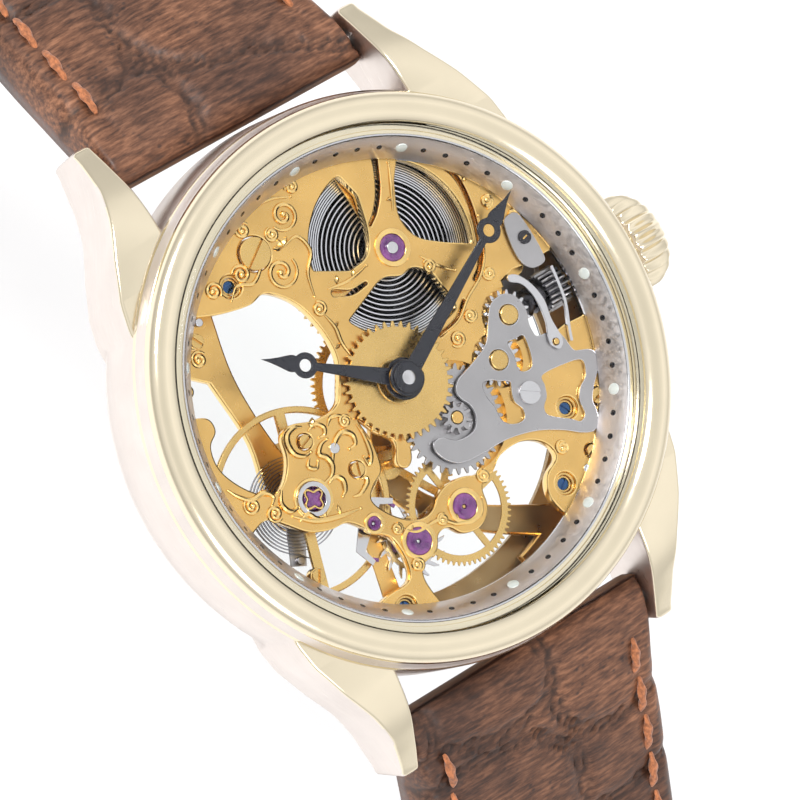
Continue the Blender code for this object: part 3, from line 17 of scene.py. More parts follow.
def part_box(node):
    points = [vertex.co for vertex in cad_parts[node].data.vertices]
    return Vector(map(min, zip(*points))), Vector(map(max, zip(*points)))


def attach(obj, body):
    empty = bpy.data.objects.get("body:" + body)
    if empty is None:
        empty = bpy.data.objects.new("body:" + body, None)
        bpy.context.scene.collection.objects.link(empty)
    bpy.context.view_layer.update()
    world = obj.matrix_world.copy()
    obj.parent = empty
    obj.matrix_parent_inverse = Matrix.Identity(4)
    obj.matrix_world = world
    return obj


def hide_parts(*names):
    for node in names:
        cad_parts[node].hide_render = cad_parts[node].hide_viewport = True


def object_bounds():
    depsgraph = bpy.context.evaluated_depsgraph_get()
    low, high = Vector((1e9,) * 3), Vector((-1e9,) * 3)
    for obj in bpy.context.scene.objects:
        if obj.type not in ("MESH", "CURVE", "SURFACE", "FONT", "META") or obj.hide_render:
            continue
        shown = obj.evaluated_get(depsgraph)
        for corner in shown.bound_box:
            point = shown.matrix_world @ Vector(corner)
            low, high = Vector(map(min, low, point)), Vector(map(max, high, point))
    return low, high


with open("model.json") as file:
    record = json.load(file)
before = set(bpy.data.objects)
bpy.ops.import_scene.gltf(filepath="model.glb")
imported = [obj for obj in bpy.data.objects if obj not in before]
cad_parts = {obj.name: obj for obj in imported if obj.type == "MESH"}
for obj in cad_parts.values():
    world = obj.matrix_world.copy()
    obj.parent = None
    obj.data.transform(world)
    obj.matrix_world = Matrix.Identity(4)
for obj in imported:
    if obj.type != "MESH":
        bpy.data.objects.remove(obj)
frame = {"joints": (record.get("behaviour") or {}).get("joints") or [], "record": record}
CAD_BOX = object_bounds()
MM = 0.001


# ---------------------------------------------------------------- what the frame says, millimetres
def span(node):
    """Lowest and highest corner of a CAD node, in millimetres."""
    low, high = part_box(node)
    return low / MM, high / MM


def middle(node):
    low, high = span(node)
    return tuple((low + high) / 2)[:2]


def level(node):
    low, high = span(node)
    return low.z, high.z


PIVOT = {j["child"]: tuple(v / MM for v in j["pos_m"]) for j in frame["joints"] if j.get("pos_m")}
BODY_OF = {node: body for body, nodes in frame["record"]["behaviour"]["bodies"].items() for node in nodes}
CENTRE = (0.0, 0.0)
BARREL = PIVOT["barrel"][:2]
THIRD = PIVOT["third_wheel"][:2]
FOURTH = PIVOT["fourth_wheel"][:2]
ESCAPE = PIVOT["escape_wheel"][:2]
PALLET = PIVOT["pallet_fork"][:2]
BALANCE = PIVOT["balance"][:2]
MINUTE = PIVOT["minute_wheel"][:2]
SETTING_1 = PIVOT["setting_wheel_1"][:2]
SETTING_2 = PIVOT["setting_wheel_2"][:2]
CROWN_WHEEL = PIVOT["crown_wheel"][:2]
COVER_SCREW = middle("cover_screw")
STEM_Z = PIVOT["winding_pinion"][2]
PLATE_LOW, PLATE_TOP, PLATE_R = 6.8, 7.7, 18.7
BRIDGE_EDGE_R = 18.05
CASE_R = span("crown_tube")[1].x - 0.5
CAVITY = 19.3
BEZEL_OUT = 20.64


# ---------------------------------------------------------------- outlines
def polar(radius, degrees, at=CENTRE):
    turn = math.radians(degrees)
    return (at[0] + radius * math.cos(turn), at[1] + radius * math.sin(turn))


def arc(radius, start, end, steps, at=CENTRE):
    return [polar(radius, start + (end - start) * i / steps, at) for i in range(steps + 1)]


def circle(radius, steps=48, at=CENTRE):
    return [polar(radius, 360 * i / steps, at) for i in range(steps)]


def bearing(start, end):
    return math.degrees(math.atan2(end[1] - start[1], end[0] - start[0]))


def moved(points, at=CENTRE, degrees=0.0):
    turn = math.radians(degrees)
    c, s = math.cos(turn), math.sin(turn)
    return [(at[0] + x * c - y * s, at[1] + x * s + y * c) for x, y in points]


def catmull(a, b, c, d, t):
    square = 2 * a - 5 * b + 4 * c - d
    return 0.5 * (2 * b + (c - a) * t + square * t**2 + (3 * b - a - 3 * c + d) * t**3)


def smooth(points, steps=6):
    """A closed curve through the points."""
    count = len(points)
    curve = []
    for i in range(count):
        near = [Vector(points[(i + k) % count]) for k in (-1, 0, 1, 2)]
        curve += [tuple(catmull(*near, step / steps)) for step in range(steps)]
    return curve


def flowing(points, steps=6):
    """An open curve through the points."""
    points = [Vector(p) for p in points]
    padded = [2 * points[0] - points[1], *points, 2 * points[-1] - points[-2]]
    curve = []
    for i in range(len(points) - 1):
        curve += [catmull(*padded[i : i + 4], step / steps) for step in range(steps)]
    return curve + [points[-1]]


def softened(points, reach=0.35, spacing=0.1):
    """A closed outline with its corners drawn round over this reach."""
    loop = np.array([tuple(p)[:2] for p in points])
    loop = np.vstack([loop, loop[:1]])
    lengths = np.concatenate([[0.0], np.cumsum(np.hypot(*np.diff(loop, axis=0).T))])
    wanted = np.arange(0, lengths[-1], spacing)
    even = np.column_stack([np.interp(wanted, lengths, loop[:, k]) for k in (0, 1)])
    width = max(int(reach / spacing), 1)
    mean = sum(np.roll(even, k, axis=0) for k in range(-width, width + 1)) / (2 * width + 1)
    return [tuple(p) for p in mean[::2]]


def limb(path, width):
    """The outline of a bar with round ends along a flat path. width is a number or one for each end."""
    path = [Vector(tuple(p)[:2]) for p in path]
    first, last = width if isinstance(width, tuple) else (width, width)
    left, right = [], []
    for i, point in enumerate(path):
        ahead = (path[min(i + 1, len(path) - 1)] - path[max(i - 1, 0)]).normalized()
        out = Vector((-ahead.y, ahead.x)) * (first + (last - first) * i / (len(path) - 1)) / 2
        left.append(point + out)
        right.append(point - out)
    ends = []
    for centre, start in ((path[-1], left[-1]), (path[0], right[0])):
        begin = bearing(centre, start)
        ends.append(arc((start - centre).length, begin, begin - 180, 8, centre)[1:-1])
    return [tuple(p) for p in left + ends[0] + right[::-1] + ends[1]]


TOOTH = [(0, -0.30), (0.4, -0.23), (0.8, -0.15), (1, -0.06), (1, 0.06), (0.8, 0.15), (0.4, 0.23), (0, 0.30)]
SHARP_TOOTH = [(0, -0.30), (0.55, -0.15), (1, 0.0), (0.55, 0.15), (0, 0.30)]


def gear(teeth, module, phase=0.0, shape=TOOTH):
    """A wheel's toothed outline. At phase 0 the middle of a tooth is at +X."""
    root = module * (teeth / 2 - 1.2)
    height = module * 2.05
    step = 360 / teeth
    return [
        polar(root + height * rise, phase + (i + part) * step)
        for i in range(teeth)
        for rise, part in shape
    ]


def mesh_phase(direction, phase, teeth, other_teeth):
    """The phase of a wheel of other_teeth that meshes with the wheel of teeth on this bearing."""
    return direction + 180 - (phase - direction) * teeth / other_teeth + 180 / other_teeth


def windows(inner, outer, count, arm, start=0.0, steps=18):
    """The openings between a wheel's arms, with rounded corners left to the slab's edge."""
    shapes = []
    for i in range(count):
        centre = start + 360 * (i + 0.5) / count
        wide = 180 / count - math.degrees(math.asin(arm / 2 / outer))
        narrow = 180 / count - math.degrees(math.asin(arm / 2 / inner))
        far = arc(outer, centre - wide, centre + wide, steps)
        shapes.append(far + arc(inner, centre + narrow, centre - narrow, steps // 3))
    return shapes


# ---------------------------------------------------------------- meshes, in millimetres
def evaluated_mesh(holder):
    bpy.context.scene.collection.objects.link(holder)
    graph = bpy.context.evaluated_depsgraph_get()
    mesh = bpy.data.meshes.new_from_object(holder.evaluated_get(graph))
    bpy.data.objects.remove(holder)
    return mesh


def repaired(mesh, shift=(0, 0, 0)):
    shape = bmesh.new()
    shape.from_mesh(mesh)
    bmesh.ops.remove_doubles(shape, verts=shape.verts, dist=2e-4)
    bmesh.ops.translate(shape, verts=shape.verts, vec=shift)
    bmesh.ops.recalc_face_normals(shape, faces=shape.faces)
    shape.to_mesh(mesh)
    shape.free()
    return mesh


def area(points):
    return sum(a[0] * b[1] - b[0] * a[1] for a, b in zip(points, points[1:] + points[:1])) / 2


def slab(low, high, outline, *holes, edge=0.04):
    """A flat plate from low to high with its holes and softened edges."""
    curve = bpy.data.curves.new("outline", "CURVE")
    curve.dimensions = "2D"
    curve.fill_mode = "BOTH"
    curve.extrude = (high - low) / 2 - edge
    curve.bevel_depth = edge
    curve.bevel_resolution = 1
    curve.offset = -edge
    for i, points in enumerate((outline, *holes)):
        points = [tuple(p)[:2] for p in points]
        if (area(points) > 0) == (i > 0):
            points.reverse()
        spline = curve.splines.new("POLY")
        spline.points.add(len(points) - 1)
        for knot, (x, y) in zip(spline.points, points):
            knot.co = (x, y, 0, 1)
        spline.use_cyclic_u = True
    return repaired(evaluated_mesh(bpy.data.objects.new("outline", curve)), (0, 0, (low + high) / 2))


def turned(profile, segments=96, closed=True):
    """A turned shape. The profile holds (radius, height) pairs, as a loop or from axis to axis."""
    mesh = bpy.data.meshes.new("profile")
    count = len(profile)
    edges = [(i, (i + 1) % count) for i in range(count if closed else count - 1)]
    mesh.from_pydata([(p[0], 0, p[1]) for p in profile], edges, [])
    holder = bpy.data.objects.new("profile", mesh)
    screw = holder.modifiers.new("turn", "SCREW")
    screw.steps = screw.render_steps = segments
    screw.use_merge_vertices = True
    screw.merge_threshold = 1e-5
    mesh = repaired(evaluated_mesh(holder))
    shape = bmesh.new()
    shape.from_mesh(mesh)
    if shape.calc_volume(signed=True) < 0:
        bmesh.ops.reverse_faces(shape, faces=shape.faces)
    shape.to_mesh(mesh)
    shape.free()
    return mesh


def eased(profile, ease=0.06, steps=3):
    """A closed profile with each corner rounded."""
    count = len(profile)
    out = []
    for i in range(count):
        before, here, after = (Vector(profile[(i + k) % count]) for k in (-1, 0, 1))
        back, on = before - here, after - here
        reach = min(ease, back.length * 0.45, on.length * 0.45)
        start, end = here + back.normalized() * reach, here + on.normalized() * reach
        for step in range(steps + 1):
            t = step / steps
            out.append(tuple(start * (1 - t) ** 2 + here * 2 * t * (1 - t) + end * t**2))
    return out


def ring(inner, outer, low, high, segments=96, ease=0.06):
    return turned(eased([(outer, high), (outer, low), (inner, low), (inner, high)], ease), segments)


def rod(radius, low, high, at=CENTRE, segments=32, ease=0.05):
    profile = [(0, high)]
    for t in range(4):
        round_by = math.radians(90 * t / 3)
        profile.append((radius - ease + ease * math.sin(round_by), high - ease + ease * math.cos(round_by)))
    profile += [(radius, low), (0, low)]
    return turn(turned(profile, segments, closed=False), Matrix.Translation((*at, 0)))


def turn(mesh, matrix):
    mesh.transform(matrix)
    if matrix.determinant() < 0:
        mesh.flip_normals()
    return mesh


def placed(mesh, at):
    return turn(mesh, Matrix.Translation((*at, 0.0)[:3]))


def joined(*meshes):
    """The meshes as one, each staying a body of its own."""
    shape = bmesh.new()
    for mesh in meshes:
        shape.from_mesh(mesh)
    made = bpy.data.meshes.new("joined")
    shape.to_mesh(made)
    shape.free()
    return made


def boolean(base, operation, *others, solver="EXACT"):
    holder = bpy.data.objects.new("base", base)
    tools = []
    for other in others:
        tool = bpy.data.objects.new("tool", other)
        bpy.context.scene.collection.objects.link(tool)
        cutter = holder.modifiers.new(operation, "BOOLEAN")
        cutter.operation = operation
        cutter.solver = solver
        cutter.object = tool
        tools.append(tool)
    mesh = evaluated_mesh(holder)
    for tool in tools:
        bpy.data.objects.remove(tool)
    return mesh


def cut(base, *others, solver="EXACT"):
    return boolean(base, "DIFFERENCE", *others, solver=solver)


def union(base, *others):
    return boolean(base, "UNION", *others)


def block(low, high):
    shape = bmesh.new()
    low, high = Vector(low), Vector(high)
    place = Matrix.Translation((low + high) / 2) @ Matrix.Diagonal((*(high - low), 1.0))
    bmesh.ops.create_cube(shape, size=1.0, matrix=place)
    mesh = bpy.data.meshes.new("block")
    shape.to_mesh(mesh)
    shape.free()
    return mesh


def grid_mesh(rows, wrap_rows=False, wrap_columns=True, caps=True):
    """Faces over rows of points, each row a loop or a line."""
    mesh = bpy.data.meshes.new("grid")
    count, wide = len(rows), len(rows[0])
    faces = []
    for i in range(count if wrap_rows else count - 1):
        for j in range(wide if wrap_columns else wide - 1):
            k, n = (i + 1) % count, (j + 1) % wide
            faces.append((i * wide + j, i * wide + n, k * wide + n, k * wide + j))
    if caps and not wrap_rows:
        faces += [tuple(range(wide))[::-1], tuple((count - 1) * wide + j for j in range(wide))]
    mesh.from_pydata([tuple(p) for row in rows for p in row], [], faces)
    return repaired(mesh)


def wire(path, radius, sides=10):
    """A tube along a path of 3-D points. radius is a number or one for each point."""
    path = [Vector(p) for p in path]
    radii = radius if isinstance(radius, (list, tuple)) else [radius] * len(path)
    rows = []
    side = None
    for i, point in enumerate(path):
        ahead = (path[min(i + 1, len(path) - 1)] - path[max(i - 1, 0)]).normalized()
        side = (side or (Vector((0, 0, 1)) if abs(ahead.z) < 0.9 else Vector((1, 0, 0)))).cross(ahead)
        side = ahead.cross(side).normalized()
        over = ahead.cross(side)
        rows.append(
            [
                point + radii[i] * (math.cos(a) * side + math.sin(a) * over)
                for a in (2 * math.pi * k / sides for k in range(sides))
            ]
        )
    return grid_mesh(rows)


def ribbon(path, thickness, low, high):
    """A strip on edge along a flat path."""
    path = [Vector(p) for p in path]
    rows = []
    for i, point in enumerate(path):
        ahead = (path[min(i + 1, len(path) - 1)] - path[max(i - 1, 0)]).normalized()
        out = Vector((ahead.y, -ahead.x)) * thickness / 2
        a, b = point + out, point - out
        rows.append([(*a, low), (*a, high), (*b, high), (*b, low)])
    return grid_mesh(rows)


def helical(turns, radius_at, steps=48, start=0.0):
    """Points of a flat spiral. radius_at gives the radius at a share of the whole."""
    count = int(turns * steps)
    return [polar(radius_at(i / count), start + 360 * i / steps) for i in range(count + 1)]


# ---------------------------------------------------------------- materials
def fresh(name):
    made = bpy.data.materials.new(name)
    made.use_nodes = True
    return made, made.node_tree.nodes, made.node_tree.links, made.node_tree.nodes["Principled BSDF"]


def coordinates(nodes, links, scale):
    """Object coordinates stretched by scale, for a grain of that many cycles per metre."""
    place = nodes.new("ShaderNodeTexCoord")
    stretch = nodes.new("ShaderNodeMapping")
    stretch.inputs["Scale"].default_value = scale
    links.new(place.outputs["Object"], stretch.inputs["Vector"])
    return stretch.outputs["Vector"]


def ramp(nodes, links, source, stops):
    made = nodes.new("ShaderNodeValToRGB")
    made.color_ramp.elements[0].position, made.color_ramp.elements[0].color = stops[0][0], (*stops[0][1], 1)
    made.color_ramp.elements[1].position, made.color_ramp.elements[1].color = stops[-1][0], (*stops[-1][1], 1)
    for position, colour in stops[1:-1]:
        made.color_ramp.elements.new(position).color = (*colour, 1)
    links.new(source, made.inputs["Fac"])
    return made.outputs["Color"]


def spread(nodes, links, source, low, high):
    made = nodes.new("ShaderNodeMapRange")
    made.inputs["From Min"].default_value = 0.3
    made.inputs["From Max"].default_value = 0.7
    made.inputs["To Min"].default_value = low
    made.inputs["To Max"].default_value = high
    links.new(source, made.inputs["Value"])
    return made.outputs["Result"]


def grain(nodes, links, vector, size=1.0, detail=3.0, roughness=0.55):
    made = nodes.new("ShaderNodeTexNoise")
    made.inputs["Scale"].default_value = size
    made.inputs["Detail"].default_value = detail
    made.inputs["Roughness"].default_value = roughness
    links.new(vector, made.inputs["Vector"])
    return made.outputs["Fac"]


def bump(nodes, links, shader, height, strength, distance):
    made = nodes.new("ShaderNodeBump")
    made.inputs["Strength"].default_value = strength
    made.inputs["Distance"].default_value = distance
    links.new(height, made.inputs["Height"])
    links.new(made.outputs["Normal"], shader.inputs["Normal"])


def shade(colour, by):
    return tuple(min(c * by, 1.0) for c in colour)


def metal(name, colour, rough, stretch=(900, 900, 900), contrast=0.06, depth=0.06, coarse=300):
    """A metal with grain: stretch sets its direction, contrast its colour play and depth its relief."""
    made, nodes, links, shader = fresh(name)
    fine = grain(nodes, links, coordinates(nodes, links, stretch))
    broad = grain(nodes, links, coordinates(nodes, links, (coarse, coarse, coarse)), detail=2)
    tone = ramp(nodes, links, broad, [(0.3, shade(colour, 1 - contrast)), (0.7, shade(colour, 1 + contrast))])
    links.new(tone, shader.inputs["Base Color"])
    links.new(spread(nodes, links, fine, rough * 0.8, rough * 1.25), shader.inputs["Roughness"])
    shader.inputs["Metallic"].default_value = 1.0
    bump(nodes, links, shader, fine, depth, 0.00002)
    return made


def stone(name, colour, rough, deep, through=0.0, coat=0.6):
    """A polished stone or enamel with a cloudy tone."""
    made, nodes, links, shader = fresh(name)
    cloud = grain(nodes, links, coordinates(nodes, links, (1400, 1400, 1400)), detail=3)
    links.new(ramp(nodes, links, cloud, [(0.3, deep), (0.7, colour)]), shader.inputs["Base Color"])
    links.new(spread(nodes, links, cloud, rough * 0.8, rough * 1.3), shader.inputs["Roughness"])
    shader.inputs["Coat Weight"].default_value = coat
    shader.inputs["Transmission Weight"].default_value = through
    return made


def crystal_glass(name):
    """Clear glass that mirrors a little and lets the rest straight through."""
    made, nodes, links, shader = fresh(name)
    nodes.remove(shader)
    clear = nodes.new("ShaderNodeBsdfTransparent")
    clear.inputs["Color"].default_value = (0.985, 0.99, 0.99, 1)
    gloss = nodes.new("ShaderNodeBsdfGlossy")
    smear = grain(nodes, links, coordinates(nodes, links, (120, 120, 120)), detail=2)
    links.new(spread(nodes, links, smear, 0.02, 0.05), gloss.inputs["Roughness"])
    edge = nodes.new("ShaderNodeFresnel")
    edge.inputs["IOR"].default_value = 1.18
    mix = nodes.new("ShaderNodeMixShader")
    links.new(edge.outputs["Fac"], mix.inputs["Fac"])
    links.new(clear.outputs["BSDF"], mix.inputs[1])
    links.new(gloss.outputs["BSDF"], mix.inputs[2])
    links.new(mix.outputs["Shader"], nodes["Material Output"].inputs["Surface"])
    return made


def leather(name, dark, mid, light, shine=0.42):
    """Brown hide: fine streaks across the strap, dark pores, and painted shade that darkens the creases where the
    mesh marks them.
    """
    made, nodes, links, shader = fresh(name)
    streaks = grain(nodes, links, coordinates(nodes, links, (620, 3000, 3000)), detail=5, roughness=0.62)
    tone = ramp(nodes, links, streaks, [(0.34, dark), (0.5, mid), (0.68, light)])
    clouds = grain(nodes, links, coordinates(nodes, links, (85, 85, 85)), detail=3)
    cloud_tone = ramp(nodes, links, clouds, [(0.36, (0.50, 0.46, 0.47)), (0.64, (1.34, 1.29, 1.25))])
    first = nodes.new("ShaderNodeMix")
    first.data_type = "RGBA"
    first.blend_type = "MULTIPLY"
    first.inputs["Factor"].default_value = 1.0
    links.new(tone, first.inputs["A"])
    links.new(cloud_tone, first.inputs["B"])
    pores = nodes.new("ShaderNodeTexVoronoi")
    pores.inputs["Scale"].default_value = 1.0
    links.new(coordinates(nodes, links, (1300, 1500, 1500)), pores.inputs["Vector"])
    pore_tone = ramp(
        nodes, links, pores.outputs["Distance"], [(0.10, (0.38, 0.42, 0.55)), (0.30, (1.0, 1.0, 1.0))]
    )
    second = nodes.new("ShaderNodeMix")
    second.data_type = "RGBA"
    second.blend_type = "MULTIPLY"
    patches = grain(nodes, links, coordinates(nodes, links, (210, 210, 210)), detail=1)
    patch_tone = ramp(nodes, links, patches, [(0.48, (0, 0, 0)), (0.62, (0.9, 0.9, 0.9))])
    links.new(patch_tone, second.inputs["Factor"])
    links.new(first.outputs["Result"], second.inputs["A"])
    links.new(pore_tone, second.inputs["B"])
    # Painted shade in the creases: where the mesh's mark is high the colour falls to a deep brown.
    crease_shade = nodes.new("ShaderNodeAttribute")
    crease_shade.attribute_name = "crease_shade"
    third = nodes.new("ShaderNodeMix")
    third.data_type = "RGBA"
    links.new(crease_shade.outputs["Fac"], third.inputs["Factor"])
    links.new(second.outputs["Result"], third.inputs["A"])
    third.inputs["B"].default_value = (*shade(dark, 0.35), 1)
    links.new(third.outputs["Result"], shader.inputs["Base Color"])
    links.new(spread(nodes, links, streaks, shine * 0.85, shine * 1.35), shader.inputs["Roughness"])
    bump(nodes, links, shader, streaks, 0.35, 0.00004)
    return made


def cloth_thread(name, colour):
    made, nodes, links, shader = fresh(name)
    fibres = grain(nodes, links, coordinates(nodes, links, (4200, 2600, 2600)), detail=4)
    tone = ramp(nodes, links, fibres, [(0.35, shade(colour, 0.55)), (0.65, shade(colour, 1.25))])
    links.new(tone, shader.inputs["Base Color"])
    shader.inputs["Roughness"].default_value = 0.7
    shader.inputs["Sheen Weight"].default_value = 0.3
    bump(nodes, links, shader, fibres, 0.4, 0.00005)
    return made


POLISHED = metal("case_polished", (0.84, 0.745, 0.56), 0.13, contrast=0.02, depth=0.01)
BRUSHED = metal("case_brushed", (0.76, 0.69, 0.645), 0.34, (500, 500, 9000), contrast=0.04, depth=0.25)
GILT = metal("movement_gilt", (0.80, 0.50, 0.17), 0.30, (1500, 1500, 1500), contrast=0.09, depth=0.14)
RELIEF = metal("engraved_gilt", (0.93, 0.64, 0.25), 0.16, contrast=0.05, depth=0.05)
# A darker bronze tone that paints shade: on the case back inside the case and on the train bridge's faces deep
# under the plate.
PAINTED_SHADE_BRONZE = metal("shadowed_bronze", (0.40, 0.27, 0.13), 0.34, contrast=0.08, depth=0.10)
WHEEL = metal("wheel_brass", (0.76, 0.51, 0.19), 0.27, (2600, 2600, 2600), contrast=0.07, depth=0.16)
STEEL = metal("brushed_steel", (0.46, 0.445, 0.455), 0.34, (3000, 3000, 3000), contrast=0.06, depth=0.16)
BRIGHT = metal("bright_steel", (0.66, 0.65, 0.67), 0.18, contrast=0.03, depth=0.03)
# Near-black steel for the clutch and small dark parts; it also paints the shade inside the barrel, between the
# mainspring's coils and in the winding pinion's tooth gaps.
DARK_STEEL_AND_PAINTED_SHADE = metal("dark_steel", (0.070, 0.067, 0.075), 0.30, contrast=0.12, depth=0.10)
SPRING = metal("hairspring_steel", (0.24, 0.24, 0.27), 0.28, (200, 200, 9000), contrast=0.10, depth=0.15)
SPRING_EDGE = metal("spring_edge", (0.72, 0.72, 0.76), 0.30, (200, 200, 200), contrast=0.05, depth=0.05)
BLUED = metal("blued_steel", (0.05, 0.11, 0.24), 0.20, contrast=0.15, depth=0.03)
SILVERED = metal("silvered_ring", (0.90, 0.85, 0.84), 0.42, (2600, 2600, 2600), contrast=0.03, depth=0.25)
INK = stone("black_enamel", (0.012, 0.012, 0.016), 0.25, (0.006, 0.006, 0.009))
HAND = stone("blue_black_enamel", (0.014, 0.015, 0.025), 0.30, (0.008, 0.009, 0.016), coat=0.2)
PEARL = stone("pearl_white", (0.86, 0.90, 0.86), 0.18, (0.70, 0.76, 0.74))
RUBY = stone("ruby", (0.34, 0.09, 0.36), 0.10, (0.10, 0.02, 0.14), through=0.2)
RUBBER = stone("rubber", (0.030, 0.030, 0.032), 0.75, (0.018, 0.018, 0.02))
GLASS = crystal_glass("clear_crystal")
HIDE = leather("brown_hide", (0.060, 0.023, 0.011), (0.150, 0.062, 0.030), (0.300, 0.138, 0.072))
HIDE_EDGE = leather("painted_edge", (0.060, 0.025, 0.015), (0.110, 0.046, 0.026), (0.165, 0.072, 0.042), 0.34)
LINING = leather("lining_hide", (0.16, 0.085, 0.045), (0.24, 0.13, 0.07), (0.33, 0.19, 0.11), 0.6)
THREAD = cloth_thread("orange_thread", (0.47, 0.16, 0.058))


# ---------------------------------------------------------------- placing
FLAT = 0.9995  # the upright share of a level face's normal


def show(name, mesh, finish, body, *nodes, sharp=35):
    """One piece: a mesh in millimetres that rides on a body and stands for these CAD nodes."""
    mesh.transform(Matrix.Scale(MM, 4))
    finishes = finish if isinstance(finish, (list, tuple)) else [finish]
    if len(mesh.materials) == 0:
        for one in finishes:
            mesh.materials.append(one)
    mesh.shade_smooth()
    mesh.set_sharp_from_angle(angle=math.radians(sharp))
    for face in mesh.polygons:
        face.use_smooth = abs(face.normal.z) < FLAT
    piece = bpy.data.objects.new(name, mesh)
    bpy.context.scene.collection.objects.link(piece)
    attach(piece, body)
    if nodes:
        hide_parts(*nodes)
    return piece


def stand_in(node, mesh, finish, sharp=35):
    """A finer shape for one CAD node, on the same body."""
    return show(node + "_detailed", mesh, finish, BODY_OF[node], node, sharp=sharp)


ALONG_X = Matrix.Rotation(math.radians(90), 4, "Y")


def faced(mesh, rule, *finishes):
    """Give each face the finish that rule(centre, normal) names by number."""
    mesh.materials.clear()
    for one in finishes:
        mesh.materials.append(one)
    for face in mesh.polygons:
        face.material_index = rule(face.center, face.normal)
    return mesh


def bright_edges(mesh, flat=GILT, edge=RELIEF):
    """Flat faces in one finish, bevels and walls in the other."""
    return faced(mesh, lambda centre, normal: int(abs(normal.z) < 0.97), flat, edge)


# ---------------------------------------------------------------- case
LUG_TOP = [(11.0, 9.14), (15.5, 9.08), (18.6, 8.7), (21.0, 7.9), (23.2, 6.3), (25.1, 4.7)]
LUG_FOOT = [(11.0, 2.4), (15.0, 2.35), (18.6, 1.9), (21.6, 0.75), (23.2, 0.45), (24.55, 0.3)]
LUG_OUT = [(11.0, 17.2), (12.6, 17.2), (14.6, 16.8), (17.4, 15.6), (20.0, 14.2), (22.4, 13.2), (24.7, 12.75)]
LUG_IN = span("strap_12")[1].x + 0.45
CROWN_FLUTES = 22


def along_curve(points, count):
    """Evenly spaced points of the flowing curve through these points."""
    curve = flowing(points, 12)
    lengths = np.cumsum([0.0] + [(b - a).length for a, b in zip(curve, curve[1:])])
    wanted = np.linspace(0, lengths[-1], count)
    return [
        Vector((np.interp(w, lengths, [p.x for p in curve]), np.interp(w, lengths, [p.y for p in curve])))
        for w in wanted
    ]


def rounded_section(low_x, high_x, height, radius, steps=4):
    corners = [(high_x, height, 0), (low_x, height, 90), (low_x, 0.0, 180), (high_x, 0.0, 270)]
    points = []
    for x, z, start in corners:
        inward = math.copysign(radius, x - (low_x + high_x) / 2)
        inner = (x - inward, z - math.copysign(radius, z - height / 2))
        points += [polar(radius, start + 90 * i / steps, inner) for i in range(steps + 1)]
    return points


def lug():
    """One lug at +X and +Y, as a loft of rounded sections from inside the case wall to its tip."""
    count = 34
    tops, feet = along_curve(LUG_TOP, count), along_curve(LUG_FOOT, count)
    out_y, out_x = [p[0] for p in LUG_OUT], [p[1] for p in LUG_OUT]
    rows = []
    stations = [(top, foot, 0.0) for top, foot in zip(tops, feet)]
    for shrink in (0.06, 0.16, 0.32, 0.6):
        stations.append((tops[-1], feet[-1], shrink))
    for i, (top, foot, shrink) in enumerate(stations):
        up = top - foot
        height = up.length
        wide = float(np.interp(top.x, out_y, out_x))
        section = rounded_section(LUG_IN + shrink, wide - shrink, height - 2 * shrink, 0.28)
        forward = Vector((up.y, -up.x)).normalized() * (0.34 * math.sin(math.acos(1 - min(shrink / 0.62, 1))))
        start = foot + up * (shrink / height) + forward
        rows.append([(x, *(start + up * (v / height))) for x, v in section])
    mesh = grid_mesh(rows)
    return cut(mesh, rod(CASE_R - 0.9, -2, 14, segments=128))


def make_case():
    edge = BEZEL_OUT + 0.08
    middle_profile = [
        (CAVITY, 10.4), (BEZEL_OUT - 0.1, 10.4), (edge, 9.95), (CASE_R - 0.12, 9.3), (CASE_R, 9.12),
        (CASE_R, 4.3),
        (CASE_R - 0.1, 4.0), (CASE_R - 0.38, 3.1), (19.9, 2.12), (CAVITY, 2.1),
    ]
    body = turned(middle_profile, 192)
    lugs = [turn(lug(), Matrix.Diagonal((x, y, 1, 1))) for x in (1, -1) for y in (1, -1)]
    solid = union(body, *lugs)
    bore = turn(rod(1.35, CAVITY - 2, CASE_R + 3), Matrix.Translation((0, 0, STEM_Z)) @ ALONG_X)
    solid = cut(solid, bore)

    def rule(centre, normal):
        return 0 if normal.z > 0.42 or normal.z < -0.6 else 1

    stand_in("case_middle", faced(solid, rule, POLISHED, BRUSHED), None, sharp=40)
    crest = [
        (18.45, 9.2), (18.45, 11.02), (18.62, 11.22), (18.95, 11.38), (19.3, 11.47), (19.65, 11.5),
        (20.0, 11.43),
        (20.3, 11.25), (20.52, 10.98), (20.62, 10.7), (BEZEL_OUT, 10.46), (19.25, 10.46), (19.25, 9.2),
    ]
    stand_in("bezel", turned(crest, 192), POLISHED, sharp=40)


def make_crown():
    """The fluted crown, made along +Z and then laid along +X."""
    low, high = span("crown")
    radius, length = (high.y - low.y) / 2, high.x - low.x
    shape = flowing([(0.74, 0.0), (0.93, 0.10), (1.0, 0.34), (0.975, 0.60), (0.83, 0.84), (0.56, 1.0)], 5)
    rows = []
    around = CROWN_FLUTES * 10
    for share, part in shape:
        fade = math.sin(math.pi * min(max(part * 1.02, 0), 1)) ** 0.45
        rows.append([])
        for i in range(around):
            wave = abs(math.cos(math.pi * i / 10)) ** 1.6
            reach = radius * (share - 0.125 * share * fade * wave)
            rows[-1].append((*polar(reach, 360 * i / around), part * length))
    cap = [
        [(*polar(radius * r, 360 * i / around), length + rise) for i in range(around)]
        for r, rise in ((0.54, 0.0), (0.50, -0.10), (0.44, -0.02), (0.30, 0.0))
    ]
    crown = grid_mesh(rows + cap)
    place = Matrix.Translation((low.x, 0, STEM_Z)) @ ALONG_X
    stand_in("crown", turn(crown, place), POLISHED, sharp=50)


